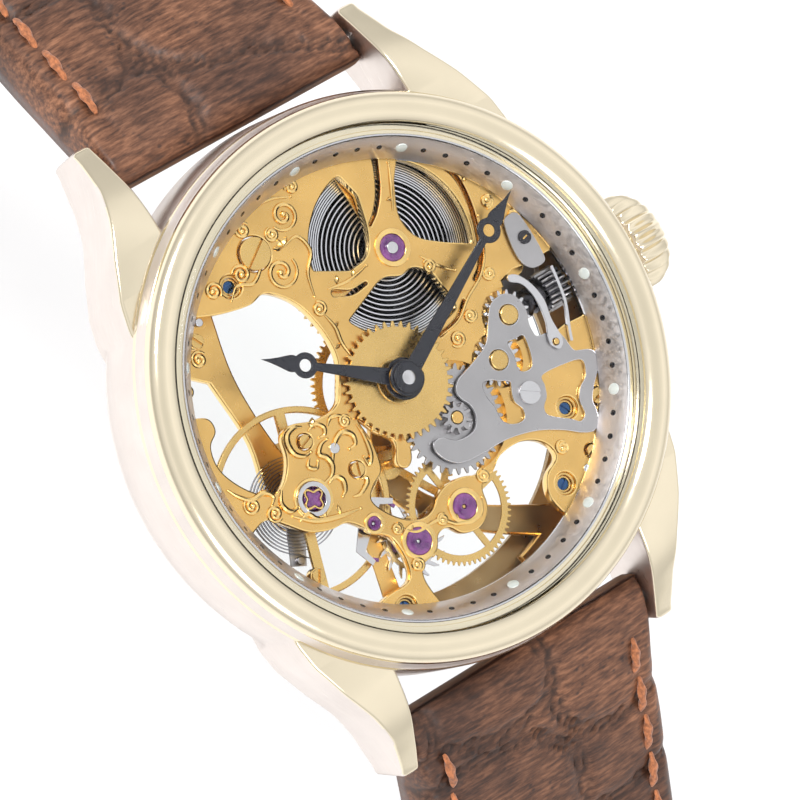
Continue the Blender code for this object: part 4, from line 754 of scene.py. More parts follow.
def make_glazing():
    radius = 18.4
    dome = [
        (0, 11.4), (6, 11.37), (11, 11.32), (15, 11.22), (18.0, 11.1), (18.2, 11.04), (18.36, 10.9), (18.4, 10.7),
    ]
    stand_in("front_crystal", turned(dome + [(radius, 10.2), (0, 10.2)], 128, closed=False), GLASS)
    face = [
        (16.15, 7.75), (16.15, 8.05), (17.42, 10.1), (17.5, 10.15), (17.62, 10.15), (17.66, 10.05),
        (17.9, 10.03),
        (17.94, 10.15), (18.36, 10.15), (18.36, 7.75),
    ]

    def rule(centre, normal):
        out = math.hypot(centre.x, centre.y)
        return 2 if out > 17.64 else 1 if out > 17.44 or normal.z < 0.2 else 0

    stand_in("chapter_ring", faced(turned(face, 192), rule, SILVERED, BRIGHT, POLISHED), None)
    slope = math.degrees(math.atan2(2.1, 1.3))
    dots, pearls = [], []
    for minute in range(60):
        hour = minute % 5 == 0
        size, rise = (0.46, 0.13) if hour else (0.235, 0.05)
        profile = [(0, rise), (size * 0.6, rise * 0.82), (size * 0.9, rise * 0.45), (size, -0.05), (0, -0.05)]
        dot = turned(profile, 20, closed=False)
        tilt = Matrix.Rotation(math.radians(6 * minute), 4, "Z") @ Matrix.Translation((16.8, 0, 9.1))
        turn(dot, tilt @ Matrix.Rotation(math.radians(-slope), 4, "Y"))
        (pearls if hour else dots).append(dot)
    show("minute_dots", joined(*dots), INK, "case")
    show("hour_pearls", joined(*pearls), PEARL, "case")
    back = [
        (15.6, 1.75), (15.6, 1.25), (16.1, 1.25), (16.1, 0.1), (16.25, 0.0), (18.3, 0.0), (18.5, 0.05),
        (19.4, 0.42),
        (19.5, 0.6), (19.7, 1.9), (19.25, 1.9), (19.25, 2.6),
    ]
    # Painted shade: the case back's faces above 1 mm, inside the case, take the darker bronze.
    cover = faced(turned(back, 160), lambda centre, normal: int(centre.z > 1.0), BRUSHED, PAINTED_SHADE_BRONZE)
    stand_in("case_back", cover, None)
    pane = [(0, 1.2), (16.05, 1.2), (16.05, 0.15), (15.9, 0.0), (0, 0.0)]
    stand_in("back_crystal", turned(pane, 128, closed=False), GLASS)
    stand_in("back_gasket", ring(18.55, 19.25, 2.65, 3.1, 96, ease=0.15), RUBBER)
    tube = turned(eased([(1.3, 21.5), (1.3, 18.9), (0.7, 18.9), (0.7, 21.5)], 0.08), 48)
    stand_in("crown_tube", turn(tube, Matrix.Translation((0, 0, STEM_Z)) @ ALONG_X), BRIGHT)


# ---------------------------------------------------------------- movement
def screw(radius, top, at, angle=0.0, height=0.35, slot=0.2, depth=0.12):
    """A slotted screw head: a disc with two raised halves."""
    tilt = math.degrees(math.asin(slot / 2 / radius))
    halves = []
    for side in (0, 180):
        half = arc(radius, tilt + side, 180 - tilt + side, 20)
        halves.append(slab(top - depth, top, moved(half, at, angle), edge=0.025))
    return joined(rod(radius, top - height, top - depth * 0.96, at), *halves)


def jewel(radius, hole, low, high, at):
    """A domed bearing stone with its oil sink and pivot hole."""
    profile = [
        (hole, low), (radius, low), (radius, high - 0.06), (radius - 0.06, high), (radius * 0.72, high),
        (radius * 0.45, high - 0.10), (hole, high - 0.16),
    ]
    return placed(turned(profile, 40), at)


def chaton(inner, outer, low, high, at):
    """A jewel's setting ring, with its inner edge a little lower."""
    section = [(outer, high), (outer, low), (inner, low), (inner, high - 0.08)]
    return placed(turned(eased(section, 0.06), 48), at)


def swirl(at, radius, turns=1.6, start=0.0, hand=1, thick=0.19):
    """A scroll wound in towards its centre, with a ball at its eye."""
    count = int(28 * turns)
    path = []
    for i in range(count + 1):
        t = i / count
        path.append(Vector(polar(radius * (1 - t) ** 0.85 + 0.09 * t, start + hand * 360 * turns * t, at)))
    shares = [0.12 + 0.62 * i / len(path) for i in range(len(path))]
    return path, [thick * (0.35 + 0.65 * math.sin(math.pi * share)) for share in shares]


RELIEF_Z = PLATE_TOP + 0.02


def raised(paths, level_z=RELIEF_Z):
    tubes = []
    for path, taper in paths:
        tubes.append(wire([(*p, level_z) for p in path], taper, 8))
        end = path[-1]
        ball = bmesh.new()
        bmesh.ops.create_icosphere(ball, subdivisions=2, radius=max(taper[-1] * 1.6, 0.12))
        bmesh.ops.translate(ball, verts=ball.verts, vec=(*end, level_z))
        made = bpy.data.meshes.new("ball")
        ball.to_mesh(made)
        ball.free()
        tubes.append(made)
    return tubes


def vine(points, thick=0.17):
    path = flowing(points, 7)
    return path, [thick * (0.35 + 0.65 * math.sin(math.pi * i / (len(path) - 1))) for i in range(len(path))]


def leaf(at, angle, length, width=0.34):
    """A raised leaf with a sharp spine."""
    rows = []
    for i in range(9):
        t = i / 8
        half = width * length * math.sin(math.pi * min(t * 0.96 + 0.03, 1)) ** 0.8
        rise = 0.16 * math.sin(math.pi * min(t * 0.96 + 0.03, 1)) ** 0.6
        section = ((1, -0.05), (0.45, rise * 0.6), (0, rise), (-0.45, rise * 0.6), (-1, -0.05))
        rows.append([(t * length, half * across, z) for across, z in section])
    place = Matrix.Translation((*at, PLATE_TOP)) @ Matrix.Rotation(math.radians(angle), 4, "Z")
    return turn(grid_mesh(rows), place)


def make_scrolls():
    swirls = [
        ((-1.8, 14.4), 1.15, 200, 1), ((-4.0, 10.9), 1.3, 20, -1), ((-3.3, 13.6), 0.5, 90, 1),
        ((-9.4, 12.1), 0.65, 300, 1), ((-6.9, 12.2), 0.7, 150, -1), ((-5.2, 14.9), 0.6, 20, 1),
        ((-0.2, 15.9), 0.5, 180, -1), ((-2.7, 7.3), 0.55, 90, -1),
        ((-14.6, -2.5), 0.6, 120, 1), ((-13.3, -3.8), 0.6, 300, -1), ((-5.1, -0.6), 0.45, 340, 1),
        ((2.6, -9.1), 0.5, 80, 1), ((-5.3, -12.2), 0.5, 270, 1),
        ((-5.4, -9.2), 0.4, 60, -1), ((5.9, 0.4), 0.6, 200, 1), ((7.7, 1.4), 0.5, 20, -1),
        ((10.6, 3.4), 0.5, 100, 1), ((13.2, 8.0), 0.5, 240, 1), ((6.6, 6.0), 0.5, 130, -1),
        ((9.3, -10.3), 0.5, 40, 1), ((-1.9, -10.3), 0.42, 40, 1), ((14.6, 6.2), 0.45, 40, -1),
        ((12.2, 13.0), 0.55, 200, 1), ((9.9, 15.2), 0.5, 140, -1), ((-12.9, 8.4), 0.6, 20, 1),
        ((-14.9, 6.8), 0.5, 200, -1), ((-9.6, -14.6), 0.6, 40, 1), ((-13.2, -10.4), 0.6, 220, 1),
        ((9.4, -14.0), 0.55, 300, -1), ((13.0, -11.3), 0.5, 120, 1),
    ]
    paths = [swirl(at, r, start=start, hand=hand) for at, r, start, hand in swirls]
    paths += [
        vine([(-7.2, 14.4), (-5.2, 15.9), (-2.3, 15.9), (-0.6, 15.3)]),
        vine([(-8.6, 10.8), (-7.6, 11.6), (-6.4, 11.2), (-5.4, 11.8), (-4.6, 12.6)]),
        vine([(-2.9, 12.4), (-1.6, 12.6), (-1.2, 11.2), (-2.2, 9.9), (-2.6, 8.2)]),
        vine([(-2.6, 6.8), (-2.3, 5.6), (-2.4, 4.4), (-2.2, 3.0)]),
        vine([(-12.2, -4.6), (-10.8, -5.7), (-9.0, -6.3), (-7.2, -6.6)], 0.24),
        vine(
            [(-8.3, 0.6), (-8.9, 0.8), (-9.6, 0.6), (-9.9, 0.0), (-9.8, -0.8), (-9.2, -1.3), (-8.6, -1.3)], 0.27
        ),
        vine([(-8.9, -1.6), (-9.3, -2.1), (-8.8, -2.5), (-8.4, -2.1)], 0.2),
        vine(
            [(-8.7, -3.7), (-8.0, -3.5), (-7.6, -2.9), (-7.7, -2.2), (-8.1, -1.7), (-7.6, -1.2), (-7.0, -1.1)],
            0.26,
        ),
        vine(
            [(-7.7, -3.2), (-7.2, -2.3), (-6.5, -1.5), (-5.7, -1.2), (-5.1, -1.7), (-5.2, -2.4), (-5.8, -2.5)], 0.25
        ),
        vine([(-8.5, -3.9), (-7.8, -3.7), (-7.4, -4.2), (-7.6, -4.9), (-8.0, -5.2)], 0.24),
        vine([(-7.3, -5.6), (-6.7, -5.7), (-5.9, -5.3), (-5.7, -4.9), (-6.0, -4.8)], 0.22),
        vine([(-8.0, 0.1), (-7.3, 0.3), (-6.8, -0.2), (-7.0, -0.7), (-7.5, -0.7)], 0.2),
        vine([(-6.5, -0.3), (-6.0, 0.1), (-5.4, 0.0), (-4.9, -0.4)], 0.18),
        vine([(-4.4, -1.2), (-4.3, -2.2), (-4.5, -3.6), (-5.0, -4.2), (-5.1, -3.5)], 0.2),
        vine([(-12.0, -2.6), (-12.5, -3.4), (-12.2, -4.2), (-11.4, -4.3)], 0.24),
        vine([(-11.9, -5.2), (-11.1, -5.0), (-10.7, -5.5), (-10.2, -5.9)], 0.22),
        vine(
            [(-15.7, -0.6), (-15.2, -1.4), (-14.4, -2.1), (-13.3, -2.1), (-12.8, -2.7), (-13.2, -3.2)], 0.22
        ),
        vine([(-5.5, -8.8), (-4.2, -10.1), (-2.2, -10.2), (-0.9, -11.2), (0.9, -11.5), (1.7, -10.4)]),
        vine([(4.6, 1.2), (6.6, 1.5), (8.2, 2.6), (10.0, 3.6), (11.3, 5.2), (12.0, 7.4)], 0.14),
        vine([(12.2, 10.8), (13.6, 9.8), (14.6, 8.2)]),
        vine([(6.1, 10.8), (6.9, 12.4), (7.6, 14.0)], 0.14),
        vine([(-1.4, 8.2), (0.4, 8.0), (2.2, 8.3)], 0.15),
        vine([(6.3, 7.0), (7.3, 5.7), (8.3, 4.8)], 0.14),
        vine([(-14.4, 10.0), (-12.0, 12.4), (-9.6, 14.2)], 0.15),
        vine([(-10.6, -13.2), (-12.6, -11.4), (-14.4, -8.6)], 0.15),
    ]
    leaves = [
        ((-3.0, 12.4), 40, 0.9), ((-3.0, 12.4), 100, 0.8), ((-3.0, 12.4), 160, 0.8), ((-7.6, 0.1), 60, 0.8),
        ((-7.4, 0.0), 120, 0.7), ((-6.2, 0.0), 20, 0.7), ((-11.2, -5.2), 60, 0.8), ((-10.0, -5.9), 70, 0.8),
        ((-8.8, -6.2), 80, 0.7), ((-0.6, 8.2), 60, 0.7), ((0.8, 8.0), 60, 0.7), ((-4.5, -3.8), 190, 0.7),
        ((-2.4, 5.6), 20, 0.6), ((-2.5, 4.4), 200, 0.6), ((-4.4, -9.9), 70, 0.6), ((-0.8, -11.0), 80, 0.6),
        ((12.8, 10.4), 200, 0.7), ((6.6, 11.6), 170, 0.6), ((-12.6, 11.6), 300, 0.8), ((-11.6, -12.2), 40, 0.8),
    ]
    show("plate_scrolls", joined(*raised(paths), *[leaf(*spec) for spec in leaves]), RELIEF, "case")


def make_main_plate():
    upper_left = flowing(
        [
            (-10.6, 10.7), (-9.0, 10.25), (-7.2, 9.95), (-6.0, 10.2), (-4.75, 9.25), (-3.8, 7.8), (-3.2, 5.4),
            (-3.3, 3.4), (-4.3, 1.6), (-4.9, 0.75), (-6.0, 0.45), (-7.4, 0.6), (-8.9, 1.1), (-10.0, 0.7),
            (-10.4, -0.8), (-11.4, -2.1), (-12.7, -2.6), (-14.3, -1.3), (-15.4, 0.8), (-15.2, 2.6),
            (-14.3, 3.3),
            (-14.3, 4.4), (-15.3, 4.95),
        ]
    ) + arc(17.5, 163, 138, 16)
    middle_way = smooth(
        [
            (-4.1, -0.9), (-3.9, -3.0), (-4.3, -5.0), (-5.3, -5.6), (-6.1, -6.4), (-5.7, -7.5), (-4.7, -8.7),
            (-3.4, -9.5), (-2.2, -9.35), (-1.4, -8.7), (-0.3, -8.3), (1.2, -8.4), (2.4, -8.8), (3.9, -8.0),
            (2.4, -7.2), (0.6, -6.4), (-0.4, -4.9), (-1.3, -4.6), (-1.7, -5.4), (-2.3, -5.85), (-2.95, -5.5),
            (-2.9, -4.9), (-2.3, -3.7), (-3.2, -2.6),
        ]
    )
    bottom = flowing(
        [
            (-5.2, -14.5), (-5.3, -13.4), (-4.9, -12.45), (-3.4, -12.1), (-2.7, -11.1), (-1.7, -11.05),
            (-0.9, -12.0), (0.6, -12.2), (1.8, -11.3), (2.2, -9.7), (3.6, -9.2), (4.6, -8.5), (6.6, -8.4),
            (8.2, -9.3), (8.6, -10.7), (7.2, -11.5), (6.6, -12.9), (6.9, -14.3),
        ]
    ) + arc(17.2, -64, -106, 24)
    lower_left = flowing(
        [
            (-15.4, -4.2), (-14.0, -3.9), (-12.9, -4.9), (-11.6, -6.2), (-10.0, -6.85), (-8.6, -7.0),
            (-7.6, -8.0),
            (-7.0, -8.8), (-6.1, -9.6), (-5.9, -11.6), (-6.5, -12.9), (-8.4, -13.0), (-9.9, -13.4),
        ]
    ) + arc(17.4, -129, -163, 20)
    stem_slot = smooth(
        [(11.3, -2.5), (14.1, -2.6), (16.9, -2.5), (17.0, 0), (16.9, 2.4), (14.1, 2.5), (11.3, 2.4)], 2
    )
    openings = [softened(shape) for shape in (upper_left, middle_way, bottom, lower_left)]
    slits = [
        limb(flowing(path, 6), ends)
        for path, ends in (
            ([(4.0, 10.7), (4.9, 11.4), (5.9, 12.7), (6.8, 14.7)], (0.18, 0.42)),
            ([(-1.0, 7.7), (0.2, 7.15), (1.5, 7.2)], (0.5, 0.25)),
            (
                [(9.6, 13.9), (11.0, 12.4), (11.9, 10.8), (11.9, 8.6), (11.3, 6.2), (10.4, 4.3), (9.5, 3.5)],
                (0.3, 0.42),
            ),
            ([(4.9, 1.25), (6.6, 1.65), (7.8, 2.6)], (0.3, 0.2)),
        )
    ]
    springs = [
        arc(6.55, 100, 168, 24, BARREL) + flowing([(0.9, 8.55), (2.6, 8.9), (3.6, 10.4), (4.2, 13.0)], 5),
        arc(6.5, -24, 56, 26, BARREL) + flowing([(7.3, 12.5), (6.4, 10.2), (6.9, 8.3), (8.6, 7.0)], 5),
        arc(6.5, 208, 292, 26, BARREL)
        + flowing([(6.6, 5.5), (5.5, 6.5), (4.3, 6.4), (2.9, 6.9), (0.9, 6.2)], 5),
    ]
    seats = [(1.05, BARREL), (1.05, ESCAPE), (1.0, FOURTH), (0.55, PALLET), (1.3, BALANCE)]
    seats += [(0.85, at) for at in PLATE_SCREWS] + [(0.5, CENTRE)]
    seats += [(radius + 0.1, at) for radius, at, _ in GILT_SCREWS]
    plate = slab(
        PLATE_LOW, PLATE_TOP, circle(PLATE_R, 180), *openings, stem_slot, *slits,
        *[softened(shape, 0.25) for shape in springs],
        *[circle(r, 32, at) for r, at in seats],
        edge=0.12,
    )
    pockets = [
        rod(4.237, 7.18, 9, MINUTE, 72, ease=0.01), rod(2.07, 7.18, 9, SETTING_1, 48, ease=0.01),
        rod(2.07, 7.18, 9, SETTING_2, 48, ease=0.01), rod(1.64, 7.18, 9, CENTRE, 48, ease=0.01),
    ]
    plate = cut(plate, *pockets)
    posts = [
        rod(0.45, 7.0, 8.3, MINUTE), rod(0.72, 7.0, 8.1, SETTING_1), rod(0.72, 7.0, 8.1, SETTING_2),
        rod(0.9, 2.7, 7.0, CROWN_WHEEL), rod(0.22, 7.0, 8.15, PIVOT["setting_lever"][:2]),
        rod(0.22, 7.0, 8.38, PIVOT["yoke"][:2]),
    ]
    rim = ring(PLATE_R - 0.6, PLATE_R, 3.95, 7.6, 160)
    way = turn(rod(0.95, 14, 20), Matrix.Translation((0, 0, STEM_Z)) @ ALONG_X)
    whole = joined(plate, cut(rim, way), *posts)
    stand_in("main_plate", bright_edges(whole), None)
    make_scrolls()
    ringed = [
        chaton(inner, outer, 7.3, high, at)
        for inner, outer, high, at in (
            (1.0, 1.42, 7.86, BARREL), (1.0, 1.4, 7.84, ESCAPE), (0.95, 1.35, 7.84, FOURTH),
            (0.5, 0.8, 7.82, PALLET), (1.27, 1.55, 7.8, BALANCE),
        )
    ]
    show("jewel_chatons", joined(*ringed), RELIEF, "case")
    blued = [screw(0.44, 7.2, at, 40 * i, slot=0.13) for i, at in enumerate(PLATE_SCREWS)]
    show("blued_screws", joined(*blued), BLUED, "case")
    threads = []
    for at in PLATE_SCREWS:
        threads.append(placed(ring(0.46, 0.60, 6.82, 7.3, 40, 0.04), at))
        threads.append(placed(ring(0.64, 0.83, 6.82, 7.5, 40, 0.06), at))
    show("threaded_bushes", joined(*threads), WHEEL, "case")
    gold = [
        screw(radius, 7.93, at, angle, height=1.1, slot=0.17, depth=0.3)
        for radius, at, angle in GILT_SCREWS
    ]
    show("gilt_screws", joined(*gold), WHEEL, "case")
    pins = [
        rod(0.4, 7.4, 7.92, (-6.85, -1.9)),
        rod(0.3, 7.4, 7.95, (-11.6, 10.7)),
        rod(0.35, 7.4, 7.9, (10.3, -12.6)),
    ]
    show("plate_pins", joined(*pins), BRIGHT, "case")


PLATE_SCREWS = ((-8.0, 11.8), (8.2, -12.7), (-7.6, -14.4), (11.2, -8.0))
GILT_SCREWS = (
    (0.5, (-8.6, -0.45), 20), (0.52, (-6.0, -4.05), 75), (0.6, (13.85, -8.4), 10), (1.2, (-5.2, 13.0), 35),
    (0.5, (-12.4, 9.6), 120), (0.5, (-12.6, -9.2), 60), (0.42, (11.3, -11.6), 30),
)


def make_bridges():
    low, high = level("barrel_bridge")
    barrel_bridge = arc(BRIDGE_EDGE_R, 38, 100, 40) + flowing(
        [(-2.6, 13.0), (0.0, 9.0), (1.6, 5.9), (4.2, 4.6), (7.6, 5.0), (9.6, 7.2), (12.0, 9.0)], 6
    )
    slots = [arc(6.2, a, b, 16, BARREL) + arc(3.4, b, a, 12, BARREL) for a, b in ((20, 62), (78, 120))]
    stand_in(
        "barrel_bridge",
        bright_edges(slab(low, high, barrel_bridge, circle(0.86, 32, BARREL), *slots, edge=0.14)),
        None,
    )
    foot = arc(BRIDGE_EDGE_R, -76, -50, 24) + arc(16.6, -50, -76, 20)
    limbs = [
        limb(flowing([CENTRE, (-0.6, -2.8), THIRD], 8), (3.0, 2.2)),
        limb(flowing([THIRD, (-1.6, -8.2), FOURTH], 8), (2.2, 1.6)),
        limb(flowing([FOURTH, (3.4, -12.6), polar(17.2, -62)], 8), (1.7, 2.4)),
        limb(flowing([THIRD, (-4.2, -8.0), ESCAPE], 8), (1.9, 1.7)),
    ]
    solid = union(slab(low, high, foot, edge=0.14), *[slab(low, high, shape, edge=0.14) for shape in limbs])
    bores = [rod(0.5, 2, 5)] + [rod(0.55, 2, 5, at) for at in (THIRD, ESCAPE)] + [rod(0.2, 2, 5, FOURTH)]
    # Painted shade: the train bridge's flat faces under the plate take the darker bronze, its bevels and walls the
    # gilt.
    stand_in("train_bridge", bright_edges(cut(solid, *bores), PAINTED_SHADE_BRONZE, GILT), None)
    x, y = BALANCE
    cock = arc(BRIDGE_EDGE_R, 126, 148, 20) + flowing(
        [
            (-11.3, 6.2), (-10.8, 1.0), (x - 1.7, y + 0.9), (x - 1.6, y - 1.1), (x, y - 1.9),
            (x + 1.6, y - 1.1),
            (x + 1.7, y + 1.0), (-9.2, 1.4), (-9.4, 6.0), (-8.6, 10.8),
        ],
        6,
    )
    stand_in("balance_cock", bright_edges(slab(low, high, cock, circle(0.28, 24, BALANCE), edge=0.14)), None)
    places = ((15.6, 45), (16.4, 72), (16.4, 95), (17.0, -62), (15.8, 137))
    heads = [screw(0.8, 3.0, polar(*place), 50 * i) for i, place in enumerate(places)]
    face_down = Matrix.Translation((0, 0, 6.1)) @ Matrix.Diagonal((1, 1, -1, 1))
    show("bridge_screws", turn(joined(*heads), face_down), BLUED, "case")
    under = [jewel(0.5, 0.16, -3.95, -3.2, at) for at in (THIRD, ESCAPE)]
    show("bridge_jewels", turn(joined(*under), Matrix.Diagonal((1, 1, -1, 1))), RUBY, "case")
    low, high = level("regulator")
    pointer = arc(1.7, 102, 438, 48) + [(0.35, 4.6), (-0.35, 4.6)]
    index = slab(low, high, moved(pointer, BALANCE, -18), circle(1.1, 40, BALANCE), edge=0.05)
    stand_in("regulator", index, BRIGHT)
    low, high = level("stud_carrier")
    frame_245 = moved(arc(1.2, 285, 565, 40) + [polar(4.5, 237), polar(4.5, 253)], BALANCE)
    arm = slab(low, low + 0.15, frame_245, circle(0.42, 24, BALANCE), edge=0.03)
    stud = rod(0.3, low, high, polar(4.1, 245, BALANCE))
    stand_in("stud_carrier", joined(arm, stud), STEEL)
    low, high = level("pallet_bridge")
    x, y = PALLET
    outline = limb(flowing([(x, y), (-7.0, -10.5), (-7.5, -13.7)], 8), (1.1, 1.5))
    arm = slab(low, 6.08, outline, circle(0.2, 16, PALLET), edge=0.05)
    stand_in("pallet_bridge", joined(arm, rod(0.6, 5.9, high, (-7.5, -13.7))), GILT)


def make_jewels():
    for node, radius, hole, at in (
        ("barrel_jewel", 1.0, 0.5, BARREL), ("escape_jewel", 1.0, 0.19, ESCAPE),
        ("fourth_jewel", 0.95, 0.19, FOURTH),
        ("pallet_jewel", 0.5, 0.19, PALLET),
    ):
        stand_in(node, jewel(radius, hole, 7.1, 7.78, at), RUBY)
    cup = turned(
        eased([(1.27, 7.86), (1.27, 6.9), (0.25, 6.9), (0.25, 7.3), (0.78, 7.35), (0.92, 7.84)], 0.05), 64
    )
    stand_in("shock_setting", placed(cup, BALANCE), BRIGHT)
    show("cap_jewel", rod(0.74, 7.36, 7.68, BALANCE, 40, ease=0.12), RUBY, "case")
    clover = [polar(0.68 + 0.17 * math.cos(math.radians(20 * i)), 5 * i + 20, BALANCE) for i in range(73)]
    show("shock_spring", wire([(*p, 7.77) for p in clover], 0.095, 8), RELIEF, "case")


BARREL_TEETH, CENTRE_TEETH, THIRD_TEETH, FOURTH_TEETH = 70, 64, 60, 60
BARREL_MODULE, CENTRE_MODULE, THIRD_MODULE, FOURTH_MODULE = 0.2258, 0.1597, 0.168, 0.137
MOTION_MODULE, HOUR_MODULE, RATCHET_MODULE = 0.2167, 0.2082, 0.249


def between_arms(inner, outer, arm, bearings):
    """The openings left between arms of this width at these bearings."""
    shapes = []
    for start, end in zip(bearings, bearings[1:] + [bearings[0] + 360]):
        wide = math.degrees(math.asin(arm / 2 / outer))
        narrow = math.degrees(math.asin(arm / 2 / inner))
        shapes.append(arc(outer, start + wide, end - wide, 24) + arc(inner, end - narrow, start + narrow, 10))
    return shapes


def make_barrel():
    wall = turned(
        [(7.15, 6.37), (7.15, 4.66), (7.09, 4.6), (0.86, 4.6), (0.86, 4.85), (6.8, 4.85), (6.8, 6.37)], 128
    )
    flange = slab(5.75, 6.1, gear(BARREL_TEETH, BARREL_MODULE), circle(7.1, 96), edge=0.04)

    # Painted shade: the drum's floor and inner wall under the spring take the near-black steel instead of the
    # brass.
    def inside(centre, normal):
        return int(math.hypot(centre.x, centre.y) < 6.82 and centre.z > 4.7)

    drum = faced(joined(wall, flange), inside, WHEEL, DARK_STEEL_AND_PAINTED_SHADE)
    stand_in("barrel_drum", placed(drum, BARREL), None)
    spaces = between_arms(1.6, 6.75, 0.9, [-27, 95, 192])
    lid = slab(6.42, 6.62, circle(7.15, 96), circle(0.55, 24), *spaces, edge=0.04)
    stand_in("barrel_cover", placed(lid, BARREL), WHEEL)

    def coil(t):
        return 2.0 + 3.3 * min(t / 0.54, 1) + 1.34 * max((t - 0.54) / 0.46, 0)

    spring = ribbon([Vector(p) for p in helical(17, coil, 72, 30)], 0.095, 4.95, 6.36)

    # Painted shade between the coils: the spring's walls take the near-black steel, its top and bottom edges the
    # spring's own steel tone.
    def edge_on(centre, normal):
        return 0 if abs(normal.z) > 0.5 else 1

    stand_in("mainspring", placed(faced(spring, edge_on, SPRING_EDGE, DARK_STEEL_AND_PAINTED_SHADE), BARREL), None, sharp=30)
    arbor = [rod(0.8, 3.1, 6.32), rod(1.3, 4.9, 6.3, segments=40), rod(0.45, 6.2, 7.8), rod(0.5, 2.2, 3.2)]
    stand_in("barrel_arbor", placed(joined(*arbor), BARREL), BRIGHT)
    low, high = level("ratchet_wheel")
    ratchet = slab(low, high, gear(50, RATCHET_MODULE, shape=SHARP_TOOTH), circle(0.55, 24), edge=0.03)
    stand_in("ratchet_wheel", placed(ratchet, BARREL), STEEL)
    low, high = level("ratchet_screw")
    head = turn(screw(1.4, -low, (0, 0), 35, height=high - low, slot=0.3), Matrix.Diagonal((1, 1, -1, 1)))
    stand_in("ratchet_screw", placed(head, BARREL), BLUED)
    low, high = level("crown_wheel")
    phase = mesh_phase(bearing(BARREL, CROWN_WHEEL), 0, 50, 30)
    top = slab(2.8, 3.05, gear(30, RATCHET_MODULE, phase), circle(0.96, 32), edge=0.03)
    skirt = ring(2.98, 3.43, 2.95, high, 64)
    stand_in("crown_wheel", placed(joined(top, skirt), CROWN_WHEEL), STEEL)
    crown_screw = turn(screw(1.3, -2.35, (0, 0), 80, slot=0.28), Matrix.Diagonal((1, 1, -1, 1)))
    show("crown_wheel_screw", placed(crown_screw, CROWN_WHEEL), BLUED, "case")
    low, high = level("click")
    pivot = PIVOT["click"][:2]
    nose = Vector(polar(26 * RATCHET_MODULE + 0.4, 100, BARREL)) - Vector(pivot)
    shape = [(0.9, 0.5), tuple(nose), (nose.x + 0.45, nose.y - 0.15), (0.9, -0.6), (-0.6, -0.8), (-0.8, 0.5)]
    click = slab(low, high, moved(smooth(shape, 6), pivot), circle(0.35, 20, pivot), edge=0.03)
    stand_in("click", click, BRIGHT)


